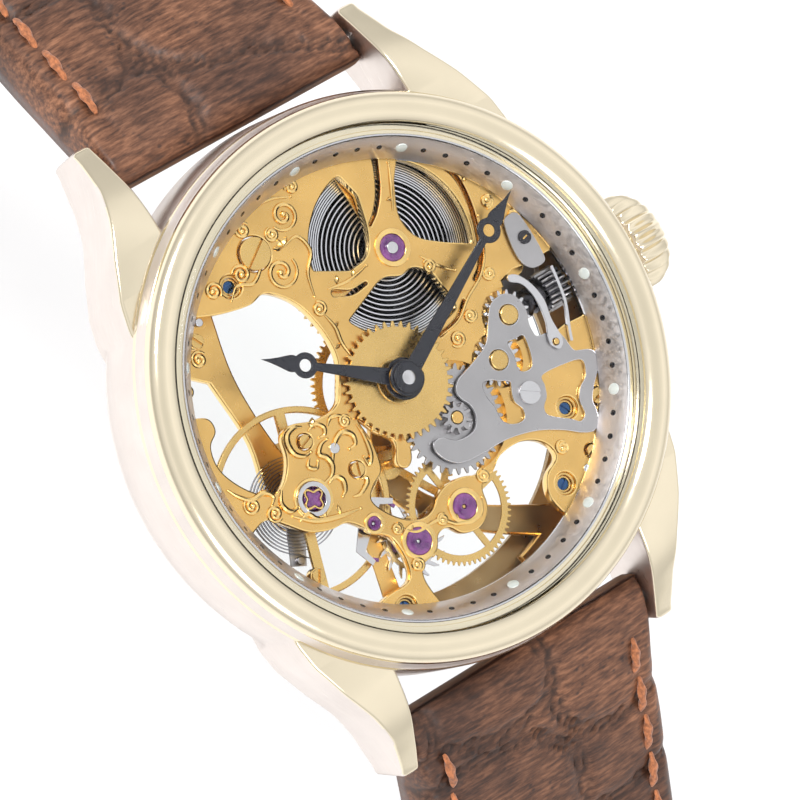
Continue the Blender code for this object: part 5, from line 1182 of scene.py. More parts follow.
def make_train():
    low = 4.15
    phase = mesh_phase(bearing(BARREL, CENTRE), 0, BARREL_TEETH, 16)
    centre = joined(
        slab(low, low + 0.2, gear(CENTRE_TEETH, CENTRE_MODULE), *windows(1.5, 4.3, 4, 0.7, 20), edge=0.03),
        slab(5.1, 6.2, gear(16, BARREL_MODULE, phase), edge=0.04),
        rod(0.45, 3.15, 9.65),
    )
    stand_in("centre_wheel", centre, WHEEL)
    low = 4.75
    phase = mesh_phase(bearing(CENTRE, THIRD), 0, CENTRE_TEETH, 8)
    third = joined(
        slab(low, low + 0.2, gear(THIRD_TEETH, THIRD_MODULE), *windows(1.1, 4.3, 4, 0.6, 35), edge=0.03),
        slab(4.0, low + 0.1, gear(8, CENTRE_MODULE, phase), edge=0.03),
        rod(0.35, 4.1, 6.68),
        rod(0.13, 3.15, 7.3),
    )
    stand_in("third_wheel", placed(third, THIRD), WHEEL)
    low = 6.5
    phase = mesh_phase(bearing(THIRD, FOURTH), 0, THIRD_TEETH, 8)
    fourth = joined(
        slab(low, low + 0.18, gear(FOURTH_TEETH, FOURTH_MODULE), *windows(0.95, 3.45, 4, 0.5, 12), edge=0.03),
        slab(4.6, 5.15, gear(8, THIRD_MODULE, phase), edge=0.03),
        rod(0.33, 4.78, 6.57),
        rod(0.13, 3.15, 7.6),
    )
    stand_in("fourth_wheel", placed(fourth, FOURTH), WHEEL)
    low = 6.2
    hooked = []
    for i in range(15):
        angle = 24 * i
        tooth = ((1.95, -7), (2.45, 0.5), (2.7, 6), (2.7, 8), (2.3, 5.5), (1.95, 3))
        hooked += [polar(radius, angle + ahead) for radius, ahead in tooth]
    phase = mesh_phase(bearing(FOURTH, ESCAPE), 0, FOURTH_TEETH, 6)
    escape = joined(
        slab(low, low + 0.16, hooked, *windows(0.8, 1.6, 4, 0.4, 10, 10), edge=0.02),
        slab(6.28, 6.7, gear(6, FOURTH_MODULE, phase), edge=0.02),
        rod(0.25, 4.0, 6.3),
        rod(0.13, 3.15, 7.6),
    )
    stand_in("escape_wheel", placed(escape, ESCAPE), BRIGHT)
    direction = bearing(PALLET, BALANCE)
    reach, arm = 3.97, 2.5
    fork = [
        (reach, 0.38), (reach - 0.45, 0.38), (reach - 0.7, 0.14), (0.6, 0.18), (0.2, arm - 0.4),
        (-1.35, arm + 0.1),
        (-1.45, arm - 0.3), (-0.5, arm - 0.7), (-0.5, -arm + 0.7), (-1.45, -arm + 0.3), (-1.35, -arm - 0.1),
        (0.2, -arm + 0.4), (0.6, -0.18), (reach - 0.7, -0.14), (reach - 0.45, -0.38), (reach, -0.38),
        (reach, -0.16), (reach - 0.35, -0.16), (reach - 0.35, 0.16), (reach, 0.16),
    ]
    anchor = joined(
        slab(low, low + 0.16, moved(fork, degrees=direction), edge=0.02),
        rod(0.25, 6.15, 6.7),
        rod(0.13, 5.88, 7.5),
    )
    stand_in("pallet_fork", placed(anchor, PALLET), BRIGHT)
    stones = []
    for side in (1, -1):
        stone_at = block((-1.6, -0.13, 6.22), (-0.95, 0.13, 6.34))
        along_fork = Matrix.Rotation(math.radians(direction), 4, "Z")
        place = along_fork @ Matrix.Translation((-0.1, side * arm * 0.96, 0))
        stones.append(turn(stone_at, place @ Matrix.Rotation(math.radians(side * 12), 4, "Z")))
    show("pallet_stones", placed(joined(*stones), PALLET), RUBY, "pallet_fork")
    wheel_rim = slab(5.3, 5.7, circle(6.95, 128), *windows(0.9, 6.46, 2, 0.8, 75, 60), edge=0.08)
    staff = [rod(0.22, 3.15, 6.82), rod(0.13, 6.7, 7.25), rod(0.7, 5.6, 6.1), rod(0.9, 5.28, 5.76)]
    staff.append(rod(0.1, 6.05, 6.4, polar(0.58, direction + 180)))
    stand_in("balance_wheel", placed(joined(wheel_rim, *staff), BALANCE), WHEEL)
    coils = [Vector(p) for p in helical(12, lambda t: 0.75 + 2.85 * t, 60, 245)]
    outer = [Vector(polar(3.6 + 0.5 * t, 245 + 14 * t)) for t in (0.3, 0.6, 1.0)]
    hairspring = ribbon(coils + outer, 0.05, 4.15, 4.43)
    collet = ring(0.24, 0.78, 4.12, 4.46, 32, ease=0.03)
    stand_in("hairspring", placed(joined(hairspring, collet), BALANCE), SPRING)


def make_motion_work():
    phase = mesh_phase(bearing(CENTRE, MINUTE), 0, 12, 36)
    low = 7.3
    leaves = slab(low, 7.83, gear(12, MOTION_MODULE), circle(0.5, 24), edge=0.04)
    cannon = joined(leaves, ring(0.5, 0.85, low, 9.75, 48))
    stand_in("cannon_pinion", cannon, BRIGHT)
    minute = joined(
        slab(low, low + 0.2, gear(36, MOTION_MODULE, phase), circle(0.51, 24), edge=0.04),
        slab(low + 0.1, 8.25, gear(10, HOUR_MODULE), circle(0.51, 24), edge=0.04),
    )
    stand_in("minute_wheel", placed(minute, MINUTE), STEEL)
    hour_phase = mesh_phase(bearing(MINUTE, CENTRE), 0, 10, 40)
    hour = joined(
        slab(7.95, 8.2, gear(40, HOUR_MODULE, hour_phase), circle(0.91, 40), edge=0.06),
        ring(0.91, 1.15, 7.95, 9.15, 48),
        placed(ring(1.2, 1.75, 8.15, 8.3, 48), CENTRE),
    )
    stand_in("hour_wheel", hour, WHEEL)
    first = mesh_phase(bearing(MINUTE, SETTING_1), phase, 36, 16)
    second = mesh_phase(bearing(SETTING_1, SETTING_2), first, 16, 16)
    for node, at, start in (("setting_wheel_1", SETTING_1, first), ("setting_wheel_2", SETTING_2, second)):
        shape = slab(low, 7.7, gear(16, MOTION_MODULE, start), circle(0.78, 32), edge=0.05)
        stand_in(node, placed(shape, at), BRIGHT)
        show(node + "_post", rod(0.7, 7.6, 8.12, at, ease=0.08), WHEEL, "case")


def hand_outline(length, ring_at, hub):
    """Outline of a hand along +Y: a tapered blade, a ring and a leaf-shaped tip."""
    eye = [polar(0.94, a, (0, ring_at)) for a in range(-68, 54, 6)]
    blade = [(0.62, hub * 0.84), (0.44, ring_at * 0.55), (0.29, ring_at - 0.98)] + eye
    blade += [(0.62, ring_at + 1.02), (0.60, ring_at + 1.25), (0.32, ring_at + 2.1), (0.14, ring_at + 2.75)]
    blade.append((0.0, length))
    other = [(-x, y) for x, y in reversed(blade[:-1])]
    return blade + other + [polar(hub, a) for a in range(122, 419, 9)]


def make_hands():
    for node, length, ring_at, hub, hole, low, angle in (
        ("hour_hand", 11.2, 7.75, 1.55, 1.2, 8.95, 304.5), ("minute_hand", 16.5, 12.9, 1.35, 0.9, 9.5, 61.0),
    ):
        holes = (circle(hole, 40), circle(0.46, 32, (0, ring_at)))
        shape = slab(low, low + 0.2, hand_outline(length, ring_at, hub), *holes, edge=0.06)
        stand_in(node, turn(shape, Matrix.Rotation(math.radians(-angle), 4, "Z")), HAND, sharp=50)
    collar = turned(eased([(1.15, 9.86), (1.15, 9.7), (0.5, 9.7), (0.5, 9.95)], 0.08), 48)
    show("hand_collar", collar, HAND, "minute_hand")
    cap = [(0, 10.02), (0.42, 9.98), (0.58, 9.9), (0.62, 9.8), (0.62, 9.72), (0, 9.72)]
    show("centre_cap", turned(cap, 48, closed=False), BRIGHT, "minute_hand")


def make_keyless_work():
    cover = smooth(
        [
            (0.15, -5.3), (0.05, -5.9), (0.5, -6.8), (1.5, -7.5), (3.5, -7.7), (5.3, -7.7), (7.0, -8.0),
            (8.5, -8.5),
            (10.0, -9.3), (11.0, -10.0), (11.8, -10.4), (12.3, -10.4), (12.8, -10.1), (13.1, -9.2),
            (13.2, -8.4),
            (13.9, -7.5), (14.9, -6.5), (15.2, -5.6), (14.9, -5.1), (14.2, -4.8), (13.7, -4.5), (13.5, -3.4),
            (13.1, -2.6), (12.0, -2.4), (11.5, -2.2), (11.5, -1.2), (11.8, -0.3), (11.6, 0.9), (10.9, 1.55),
            (10.0, 1.6), (9.3, 1.3), (8.6, 0.4), (7.9, -0.6), (7.2, -1.15), (6.0, -1.6), (5.0, -1.9),
            (4.2, -2.2),
            (3.7, -2.8), (3.8, -3.5), (4.2, -4.2), (4.2, -5.0), (3.8, -5.7), (3.1, -6.0), (2.0, -5.9),
            (1.2, -5.3),
            (0.6, -5.1),
        ],
        4,
    )
    window_a = smooth(
        [
            (5.9, -3.3), (6.6, -3.4), (7.2, -3.8), (7.9, -4.2), (7.6, -5.0), (7.5, -5.7), (7.8, -6.4),
            (7.6, -7.0),
            (7.0, -7.1), (6.3, -6.8), (5.9, -6.2), (5.9, -5.2), (5.7, -4.2),
        ],
        5,
    )
    window_b = smooth(
        [
            (9.2, -1.7), (9.9, -1.7), (10.6, -1.8), (10.5, -3.0), (10.1, -4.0), (9.4, -4.1), (9.0, -3.7),
            (9.2, -2.8),
        ],
        5,
    )
    window_c = smooth(
        [
            (10.5, -5.0), (12.4, -5.1), (13.9, -5.5), (13.6, -6.6), (12.7, -7.2), (12.2, -8.0), (12.1, -9.0),
            (11.5, -9.3), (10.9, -8.8), (9.5, -7.8), (9.4, -7.1), (10.0, -6.5), (10.3, -5.7),
        ],
        5,
    )
    low, high = level("cover_plate")
    holes = [circle(0.77, 32, SETTING_1), circle(0.77, 32, SETTING_2), circle(0.55, 32, COVER_SCREW)]
    holes.append(circle(0.28, 16, PIVOT["yoke"][:2]))
    plate = slab(low, high, cover, window_a, window_b, window_c, *holes, edge=0.06)
    stand_in("cover_plate", bright_edges(plate, STEEL, BRIGHT), None)
    low, high = level("cover_screw")
    head = joined(screw(0.85, high, COVER_SCREW, -30, height=0.25), rod(0.5, low, high - 0.2, COVER_SCREW))
    stand_in("cover_screw", head, BRIGHT)
    lever = smooth(
        [
            (-0.7, 1.9), (0.4, 1.8), (0.75, -0.2), (0.75, -1.9), (0.4, -2.35), (-0.6, -2.25), (-1.15, -1.5),
            (-1.25, -0.3), (-1.05, 1.2),
        ],
        5,
    )
    low, high = level("setting_lever")
    pivot = PIVOT["setting_lever"][:2]
    stand_in("setting_lever", slab(low, high, moved(lever, pivot), circle(0.28, 16, pivot), edge=0.07), STEEL)
    lever_screw = screw(0.5, high + 0.16, pivot, 15, height=0.14, slot=0.12, depth=0.08)
    show("lever_screw", lever_screw, DARK_STEEL_AND_PAINTED_SHADE, "case")
    low, high = level("yoke")
    pivot = PIVOT["yoke"][:2]
    yoke = smooth(
        [
            (0.0, -0.6), (0.6, -0.1), (0.55, 1.6), (0.75, 3.1), (0.45, 4.5), (-0.2, 5.6), (-0.95, 5.95),
            (-1.1, 5.5),
            (-0.4, 5.0), (0.0, 4.2), (0.15, 3.0), (0.0, 1.6), (-0.5, 0.2),
        ],
        5,
    )
    stand_in("yoke", slab(low, high, moved(yoke, pivot), circle(0.28, 16, pivot), edge=0.05), BRIGHT)
    arm = flowing([(15.25, 1.6), (15.15, 0.4), (14.9, -1.2), (14.2, -3.0), (13.9, -3.9)], 8)
    show("yoke_spring", ribbon(arm, 0.22, 7.78, 8.05), BRIGHT, "case")
    at_stem = Matrix.Translation((0, 0, STEM_Z))
    low, high = span("winding_pinion")
    pinion = slab(low.x, high.x, gear(20, 0.143), circle(0.61, 24), edge=0.05)

    # Painted shade in the tooth gaps: below its crests the pinion takes the near-black steel.
    def crest(centre, normal):
        return int(math.hypot(centre.x, centre.y) > 1.42)

    stand_in("winding_pinion", turn(faced(pinion, crest, DARK_STEEL_AND_PAINTED_SHADE, STEEL), at_stem @ ALONG_X), None)
    low, high = span("clutch")
    body = [
        (0.61, low.x), (1.0, low.x), (1.05, low.x + 0.05), (1.05, low.x + 0.4), (0.8, low.x + 0.5),
        (0.8, low.x + 0.8), (1.05, low.x + 0.9), (1.05, high.x - 0.05), (1.0, high.x), (0.61, high.x),
    ]
    stand_in("clutch", turn(turned(body, 48), at_stem @ ALONG_X), DARK_STEEL_AND_PAINTED_SHADE)
    shaft = [
        (0, 10.9), (0.24, 10.9), (0.3, 10.96), (0.3, 11.4), (0.55, 11.47), (0.55, 22.14), (0.5, 22.2),
        (0, 22.2),
    ]
    stand_in("stem", turn(turned(shaft, 40, closed=False), at_stem @ ALONG_X), BRIGHT)
    spacer = ring(PLATE_R + 0.06, CAVITY - 0.06, 4.4, 7.64, 160)
    stand_in("movement_ring", cut(spacer, turn(rod(1.6, 14, 22), at_stem @ ALONG_X)), GILT)


# ---------------------------------------------------------------- strap
BAR_Y, BAR_Z = PIVOT["strap_12"][1], PIVOT["strap_12"][2]
DROP = 34.0  # degrees below level where a half leaves the lugs
STRAIGHT = 18.0
BEND_R = 38.0
BEND = 58.0
NOSE_R = 1.95
LUG_WIDTH = 22.3
THICK, END_THICK = 4.4, 2.8
LENGTH_12, LENGTH_6 = 75.0, 115.0
END_12, END_6 = 20.0, 18.0
TIP = 14.0
STITCH_IN = 2.4  # stitch line from the edge


def strap_frame(along, side):
    """A matrix whose X runs across the strap, Y along it and Z out of its face."""
    straight = min(max(along, 0.0), STRAIGHT)
    bent = min(max(along - STRAIGHT, 0.0), BEND_R * math.radians(BEND))
    rest = max(along - STRAIGHT - BEND_R * math.radians(BEND), 0.0)
    start, end = math.radians(DROP), math.radians(DROP) + bent / BEND_R
    y = BAR_Y + straight * math.cos(start) + BEND_R * (math.sin(end) - math.sin(start)) + rest * math.cos(end)
    z = BAR_Z - straight * math.sin(start) - BEND_R * (math.cos(start) - math.cos(end)) - rest * math.sin(end)
    flip = Matrix.Identity(4) if side > 0 else Matrix.Rotation(math.pi, 4, "Z")
    frame_here = flip @ Matrix.Translation((0, y, z)) @ Matrix.Rotation(-end, 4, "X")
    return frame_here @ Matrix.Translation((0, min(along, 0.0), 0))


def strap_size(along, length, end_width, tip):
    """Half width and half thickness of the strap this far along."""
    share = min(max((along - 10.0) / (length - 18.0), 0.0), 1.0)
    half = (LUG_WIDTH + (end_width - LUG_WIDTH) * share) / 2
    thick = (THICK + (END_THICK - THICK) * share) / 2
    if along < 3.0:
        thick = NOSE_R + (thick - NOSE_R) * max(along, 0.0) / 3.0
    if along < 0:
        thick = math.sqrt(max(NOSE_R**2 - along**2, 0.02))
    if tip and along > length - tip:
        half *= math.sqrt(max(1 - ((along - length + tip) / tip) ** 2, 0.035))
    return half, thick


CREASES_12 = [
    [(-3.0, 15.0), (-3.1, 10.5), (-3.5, 8.0), (-3.1, 6.4), (-2.2, 4.4)],
    [(-2.2, 4.4), (-0.8, 3.3), (1.6, 2.4), (4.1, 2.0), (6.9, 0.7), (10.7, -1.2)],
    [(-2.6, 4.3), (-3.6, 4.8), (-5.2, 5.2), (-7.3, 4.7), (-10.7, 4.2)],
    [(-3.0, 4.2), (-2.6, 2.4), (-2.7, 0.4), (-3.6, -1.9)],
    [(-3.5, 8.0), (-4.2, 6.4), (-4.4, 5.2)],
    [(-3.0, 15.0), (-1.0, 16.2), (3.5, 15.4), (7.0, 16.6), (10.6, 16.0)],
    [(-3.0, 15.0), (-6.0, 14.2), (-10.6, 15.0)],
]
CREASES_6 = [
    [(-0.9, -1.9), (-1.5, -0.4), (-0.9, 2.3)],
    [(-0.9, 2.3), (2.1, 2.9), (5.5, 2.7), (8.6, 1.7), (10.7, 1.9)],
    [(1.5, 4.1), (0.6, 5.2), (-1.2, 7.0), (-2.3, 8.8), (-2.2, 14.0)],
    [(1.5, 4.1), (4.5, 4.5), (7.6, 4.0), (10.7, 4.8)],
    [(-0.9, 2.3), (-1.9, 5.3), (-3.6, 6.9), (-6.0, 7.7), (-8.9, 7.2), (-10.7, 6.8)],
    [(9.8, -1.9), (9.3, -0.6), (9.7, 1.4)],
    [(-2.2, 14.0), (1.0, 15.2), (5.0, 14.4), (10.6, 15.6)],
    [(-2.2, 14.0), (-5.8, 14.6), (-10.6, 13.6)],
]


def creases_on(first, start, length, seed):
    """Creases by the lug as listed, then scale outlines that carry on down the strap."""
    shuffle = random.Random(seed)
    lines = [flowing(line, 6) for line in first]
    along, spine = start, first[-1][0][0]
    while along < length - 4:
        step = shuffle.uniform(9.0, 13.0)
        nxt = shuffle.uniform(-4.0, 4.0)
        middle_x = (spine + nxt) / 2 + shuffle.uniform(-1, 1)
        lines.append(flowing([(spine, along), (middle_x, along + step * 0.5), (nxt, along + step)], 8))
        for side in (-1, 1):
            sway = shuffle.uniform(-1.6, 1.6)
            turn_at, far = (nxt + side * 11) / 2, along + step
            row = [(nxt, far), (turn_at, far + sway), (side * 11, far - sway * 0.4)]
            lines.append(flowing(row, 8))
        along, spine = along + step, nxt
    return lines


def distance_to(lines, points):
    """Distance of each point to the nearest line."""
    best = np.full(len(points), 1e9)
    for line in lines:
        knots = np.array([tuple(p) for p in line])
        for a, b in zip(knots, knots[1:]):
            ab = b - a
            t = np.clip(((points - a) @ ab) / max(ab @ ab, 1e-9), 0, 1)
            best = np.minimum(best, np.hypot(*(points - a - t[:, None] * ab).T))
    return best


def strap_half(side, length, end_width, tip, creases):
    """A padded half: a rolled nose, a crowned face with creases and stitch channels, and a flat lining."""
    step = 0.34
    nose = [-NOSE_R * math.cos(math.radians(a)) for a in (3, 12, 22, 34, 47, 60, 74)]
    stations = nose + [step * i for i in range(int((length - 0.3) / step))] + [length - 0.25, length - 0.06]
    columns = 66
    rows, flat_points = [], []
    for along in stations:
        half, thick = strap_size(along, length, end_width, tip)
        end_fade = 1.0
        if along > length - 0.7:
            end_fade = math.sqrt(max(1 - ((along - length + 0.7) / 0.7) ** 2, 0.12))
        roll = 0.6 + 0.9 * min(max(along - 1.0, 0.0) / 4.0, 1.0)
        row = []
        for j in range(columns + 1):
            across = math.sin(math.pi * (j / columns - 0.5)) * 0.35 + (2 * j / columns - 1) * 0.65
            x = half * across
            edge = half - abs(x)
            crown = 0.80 + 0.20 * math.cos(math.pi / 2 * across)
            low = -0.25 * thick
            top = thick * crown
            if edge < roll:
                top = low + (top - low) * math.sqrt(max(1 - (1 - edge / roll) ** 2, 0.0))
            if along > 0.5:
                channel = math.exp(-(((edge - STITCH_IN) / 0.42) ** 2)) * min((along - 0.5) / 2, 1)
                top -= 0.17 * channel * (1 if half > 4 else 0)
            row.append((x, top * end_fade, along))
        for j in range(columns + 1):
            across = 1 - 2 * j / columns
            rim = min((1 - abs(across)) / 0.05, 1)
            row.append((half * across * 0.995, (-thick + 0.35 * (1 - rim) ** 2) * end_fade, along))
        rows.append(row)
        flat_points += [(x, along) for x, _, _ in row]
    flat = np.array(flat_points)
    wobble = np.array([[noise.noise((x * 0.9, a * 0.9, seed)) for seed in (3, 9)] for x, a in flat])
    gap = distance_to(creases, flat + 0.35 * wobble)
    fine = np.array([noise.noise((x * 2.2, a * 2.2, 5)) for x, a in flat])
    ridge = np.exp(-(((gap - 0.34) / 0.15) ** 2))
    valley = np.exp(-((gap / 0.8) ** 2))
    depth = 0.26 * ridge * (0.75 + 0.6 * np.abs(fine)) + 0.26 * valley * (1 + 0.6 * fine)
    pads = 0.05 * np.array([noise.noise((x * 0.35, a * 0.35, 1)) for x, a in flat])
    points, k = [], 0
    for along, row in zip(stations, rows):
        here = strap_frame(along, side)
        line = []
        for j, (x, z, _) in enumerate(row):
            if j <= columns:
                z -= depth[k] * (1 if abs(z) > 0.2 else 0) - pads[k] * 0.5
            line.append(here @ Vector((x, 0, z)))
            k += 1
        points.append(line)
    mesh = bpy.data.meshes.new("strap")
    wide = 2 * (columns + 1)
    faces, finish = [], []
    for i in range(len(points) - 1):
        for j in range(wide):
            n = (j + 1) % wide
            faces.append((i * wide + j, (i + 1) * wide + j, (i + 1) * wide + n, i * wide + n))
            finish.append(0 if j < columns else 1 if j in (columns, wide - 1) else 2)
    faces += [tuple(range(wide)), tuple((len(points) - 1) * wide + j for j in range(wide))[::-1]]
    finish += [1, 1]
    mesh.from_pydata([tuple(p) for line in points for p in line], [], faces)
    for one in (HIDE, HIDE_EDGE, LINING):
        mesh.materials.append(one)
    mesh.polygons.foreach_set("material_index", finish)
    top_mask = np.array([1.0 if (i % wide) <= columns else 0.0 for i in range(len(flat))])
    # Painted shade along the crease grooves, darkest on the double lines either side of each crease.
    crease_shade = mesh.attributes.new("crease_shade", "FLOAT", "POINT")
    darkness = np.clip(ridge * (0.62 + 0.9 * np.abs(fine)), 0, 0.95) * top_mask
    crease_shade.data.foreach_set("value", darkness.astype(np.float32))
    shape = bmesh.new()
    shape.from_mesh(mesh)
    bmesh.ops.triangulate(shape, faces=[f for f in shape.faces if len(f.verts) > 4])
    bmesh.ops.recalc_face_normals(shape, faces=shape.faces)
    shape.to_mesh(mesh)
    shape.free()
    return mesh


def stitch(length=3.2, thick=0.34):
    """One stitch of twisted thread along Y, its ends sunk in the hide."""
    rows = []
    for i in range(17):
        t = i / 16
        body = math.sin(math.pi * min(max(t, 0.02), 0.98)) ** 0.38
        centre = Vector((0, (t - 0.5) * length, 0.30 * math.sin(math.pi * t) ** 0.6 - 0.22))
        row = []
        for k in range(14):
            turned_by = 2 * math.pi * k / 14
            strand = 1 + 0.20 * math.cos(2 * turned_by - 14 * t)
            reach = thick * body * strand
            row.append(centre + Vector((reach * math.cos(turned_by), 0, reach * 0.85 * math.sin(turned_by))))
        rows.append(row)
    return grid_mesh(rows)


def stitches(side, length, end_width, tip, start, last):
    """Both rows of stitches, each laid on the channel."""
    rows = []
    along = start
    while along < last:
        for hand in (-1, 1):
            here, ahead = along - 0.5, along + 0.5
            ends = []
            for place in (here, ahead):
                half, thick = strap_size(place, length, end_width, tip)
                ends.append(Vector((hand * (half - STITCH_IN), place, thick * 0.86)))
            direction = ends[1] - ends[0]
            lean = math.atan2(-direction.x, direction.y) + math.radians(5 * hand)
            middle_point = (ends[0] + ends[1]) / 2
            raised_by = Matrix.Translation((middle_point.x, 0, middle_point.z + 0.02))
            frame_here = strap_frame(along, side) @ raised_by
            rows.append(turn(stitch(), frame_here @ Matrix.Rotation(lean, 4, "Z")))
        along += 3.65
    return joined(*rows)


def make_strap():
    bar_hole = [turn(rod(0.86, -14, 14, segments=32), strap_frame(0, side) @ ALONG_X) for side in (1, -1)]
    buckle_at = strap_frame(LENGTH_12 - 3.0, 1)
    mesh = strap_half(1, LENGTH_12, END_12, 0.0, creases_on(CREASES_12, 15.0, LENGTH_12, 4))
    way = turn(rod(0.81, -14, 14, segments=32), buckle_at @ ALONG_X)
    slot = turn(block((-1.6, -4.2, -4), (1.6, 6.0, 4)), buckle_at)
    piece = stand_in("strap_12", cut(mesh, bar_hole[0], way, slot), None, sharp=60)
    mesh = strap_half(-1, LENGTH_6, END_6, TIP, creases_on(CREASES_6, 14.0, LENGTH_6, 11))
    holes = [turn(rod(1.0, -5, 5, segments=32), strap_frame(LENGTH_6 - 24.0 - 6.5 * i, -1)) for i in range(7)]
    piece = stand_in("strap_6", cut(mesh, bar_hole[1], *holes), None, sharp=60)
    show("stitching_12", stitches(1, LENGTH_12, END_12, 0.0, 5.2, LENGTH_12 - 8.0), THREAD, "strap_12")
    show("stitching_6", stitches(-1, LENGTH_6, END_6, TIP, 3.4, LENGTH_6 - 5.0), THREAD, "strap_6")
    half = LUG_IN
    for node, side in (("spring_bar_12", 1), ("spring_bar_6", -1)):
        profile = [
            (0, half + 0.9), (0.4, half + 0.9), (0.45, half + 0.85), (0.45, half - 0.1), (0.8, half - 0.15),
            (0.8, 0.15 - half), (0.45, 0.1 - half), (0.45, -half - 0.85), (0.4, -half - 0.9),
            (0, -half - 0.9),
        ]
        place = Matrix.Translation((0, side * BAR_Y, BAR_Z)) @ ALONG_X
        stand_in(node, turn(turned(profile, 32, closed=False), place), BRIGHT)
    make_buckle(buckle_at)


def make_buckle(frame_here):
    half, wire_thick, reach = END_12 / 2 + 0.4, 2.2, 11.0
    corner = [
        (half + wire_thick, -1.2), (half + wire_thick, reach - 1.6), (half + 0.9, reach + 0.35),
        (half - 0.9, reach + 0.9),
    ]
    outer = [(-x, y) for x, y in corner] + [(x, y) for x, y in reversed(corner)]
    outer = smooth_corners(outer, 0.9)
    inner = smooth_corners([(-half, -2.4), (-half, reach - 1.6), (half, reach - 1.6), (half, -2.4)], 0.8)
    solid = slab(-1.1, 1.1, outer, edge=0.55)
    opening = slab(-3, 3, inner, edge=0.01)
    rest = block((-1.3, reach - 3, 0.35), (1.3, reach + 3, 4))
    bores = turn(rod(0.55, -half - 1.2, half + 1.2), ALONG_X)
    stand_in("buckle_frame", turn(cut(solid, opening, rest, bores), frame_here), POLISHED, sharp=50)
    bar = [
        (0, half + 0.9), (0.5, half + 0.9), (0.5, half - 0.15), (0.75, half - 0.2), (0.75, 0.2 - half),
        (0.5, 0.15 - half), (0.5, -half - 0.9), (0, -half - 0.9),
    ]
    stand_in("buckle_bar", turn(turned(bar, 32, closed=False), frame_here @ ALONG_X), BRIGHT)
    eye = turn(ring(0.81, 1.35, -1.0, 1.0, 40, ease=0.12), ALONG_X)
    rows = []
    tang = (
        (1.0, 0.3, 0.42), (3.0, 0.6, 0.42), (5.0, 0.75, 0.41), (7.0, 0.83, 0.38), (9.0, 0.85, 0.35),
        (11.2, 0.78, 0.3), (11.55, 0.75, 0.16),
    )
    for y, z, t in tang:
        rows.append([(x, y, z - t + v) for x, v in rounded_section(-0.8, 0.8, 2 * t, min(0.24, t * 0.8))])
    stand_in("buckle_tang", turn(joined(eye, grid_mesh(rows)), frame_here), POLISHED, sharp=50)
    stand = Matrix(((1, 0, 0, 0), (0, 0, -1, 0), (0, 1, 0, 0), (0, 0, 0, 1)))
    keepers = (("fixed_keeper", LENGTH_12 - 9.0, 0.05, 4.0), ("sliding_keeper", LENGTH_12 - 17.0, 0.25, 5.0))
    for node, along, gap, wide in keepers:
        half = END_12 / 2 + 0.4 + gap
        low, high = -END_THICK / 2 - 0.35 - gap, END_THICK / 2 + 3.4
        out = half + 1.1
        loop = [(-out, low - 1.1), (out, low - 1.1), (out, high + 1.1), (-out, high + 1.1)]
        hollow = [(-half, low), (half, low), (half, high), (-half, high)]
        mesh = slab(-wide / 2, wide / 2, smooth_corners(loop, 1.2), smooth_corners(hollow, 0.5), edge=0.3)
        stand_in(node, turn(mesh, strap_frame(along, 1) @ stand), HIDE_EDGE, sharp=50)


def smooth_corners(points, radius, steps=8):
    """A polygon with each corner rounded."""
    return [tuple(p) for p in eased(points, radius * 1.2, steps)]


# ---------------------------------------------------------------- light, floor and camera
def make_light(name, at, aim, size, energy, tint=(1, 1, 1)):
    light = bpy.data.lights.new(name, "AREA")
    light.shape = "DISK"
    light.size = size
    light.energy = energy
    light.color = tint
    holder = bpy.data.objects.new(name, light)
    holder.location = at
    holder.rotation_euler = (Vector(aim) - Vector(at)).to_track_quat("-Z", "Y").to_euler()
    bpy.context.scene.collection.objects.link(holder)


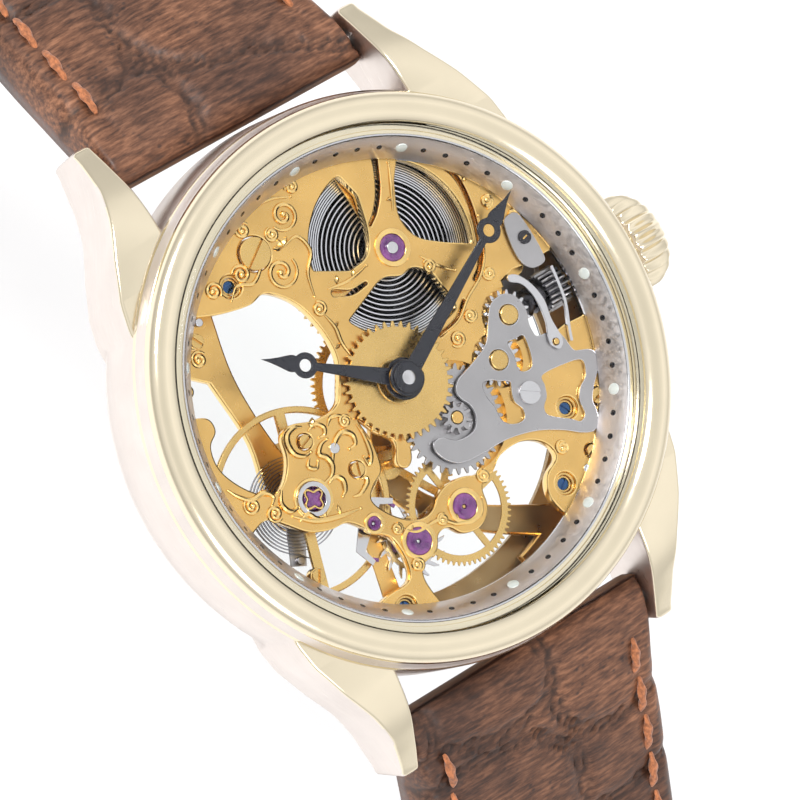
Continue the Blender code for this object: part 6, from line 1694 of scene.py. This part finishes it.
def make_studio():
    scene = bpy.context.scene
    world = bpy.data.worlds.new("studio")
    world.use_nodes = True
    nodes, links = world.node_tree.nodes, world.node_tree.links
    place = nodes.new("ShaderNodeTexCoord")
    split = nodes.new("ShaderNodeSeparateXYZ")
    links.new(place.outputs["Generated"], split.inputs["Vector"])
    tone = nodes.new("ShaderNodeValToRGB")
    stops = [(0.0, 0.9), (0.10, 0.70), (0.32, 0.82), (0.52, 1.0), (0.8, 1.12), (1.0, 0.95)]
    tone.color_ramp.elements[0].position, tone.color_ramp.elements[0].color = 0.0, (0.9, 0.9, 0.9, 1)
    tone.color_ramp.elements[1].position, tone.color_ramp.elements[1].color = 1.0, (0.9, 0.9, 0.9, 1)
    for position, value in stops[1:-1]:
        tone.color_ramp.elements.new(position).color = (value, value, value * 1.01, 1)
    links.new(split.outputs["Z"], tone.inputs["Fac"])
    toward = nodes.new("ShaderNodeVectorMath")
    toward.operation = "DOT_PRODUCT"
    toward.inputs[1].default_value = (-0.80, 0.58, 0.0)
    links.new(place.outputs["Generated"], toward.inputs[0])
    dim = nodes.new("ShaderNodeMapRange")
    dim.inputs["From Min"].default_value = -1.0
    dim.inputs["To Min"].default_value = 1.06
    dim.inputs["To Max"].default_value = 0.86
    links.new(toward.outputs["Value"], dim.inputs["Value"])
    links.new(dim.outputs["Result"], nodes["Background"].inputs["Strength"])
    links.new(tone.outputs["Color"], nodes["Background"].inputs["Color"])
    scene.world = world
    floor_mesh = bpy.data.meshes.new("floor")
    low = CAD_BOX[0].z - 0.004
    floor_mesh.from_pydata([(-3, -3, low), (3, -3, low), (3, 3, low), (-3, 3, low)], [], [(0, 1, 2, 3)])
    floor = bpy.data.objects.new("floor", floor_mesh)
    scene.collection.objects.link(floor)
    pale, nodes, links, shader = fresh("pale_floor")
    cloud = grain(nodes, links, coordinates(nodes, links, (3, 3, 3)))
    tone = ramp(nodes, links, cloud, [(0.3, (0.94, 0.94, 0.94)), (0.7, (0.96, 0.96, 0.96))])
    links.new(tone, shader.inputs["Base Color"])
    shader.inputs["Roughness"].default_value = 0.9
    floor_mesh.materials.append(pale)
    make_light("key", (-0.30, 0.55, 0.70), (0, 0, 0), 0.35, 4.2)
    make_light("fill", (-0.45, -0.35, 0.60), (0, 0, 0), 0.5, 1.4)
    camera = bpy.data.cameras.new("camera")
    camera.lens = 254.8
    camera.sensor_width = 36
    camera.clip_start = 0.01
    holder = bpy.data.objects.new("camera", camera)
    azimuth, elevation, roll = (math.radians(v) for v in (-102.44, 64.24, 73.34))
    level_out = Vector((math.sin(azimuth), -math.cos(azimuth), 0))
    back = level_out * math.cos(elevation) + Vector((0, 0, math.sin(elevation)))
    right = Vector((math.cos(azimuth), math.sin(azimuth), 0))
    up = back.cross(right)
    across = right * math.cos(roll) + up * math.sin(roll)
    over = back.cross(across)
    target = Vector((-1.15, -1.16, 9.2)) * MM
    place = Matrix((across, over, back)).transposed().to_4x4()
    place.translation = target + back * 0.4054
    holder.matrix_world = place
    scene.collection.objects.link(holder)
    scene.camera = holder
    scene.view_settings.view_transform = "Standard"


def main():
    make_case()
    make_crown()
    make_glazing()
    make_main_plate()
    make_bridges()
    make_jewels()
    make_barrel()
    make_train()
    make_motion_work()
    make_hands()
    make_keyless_work()
    make_strap()
    make_studio()


main()
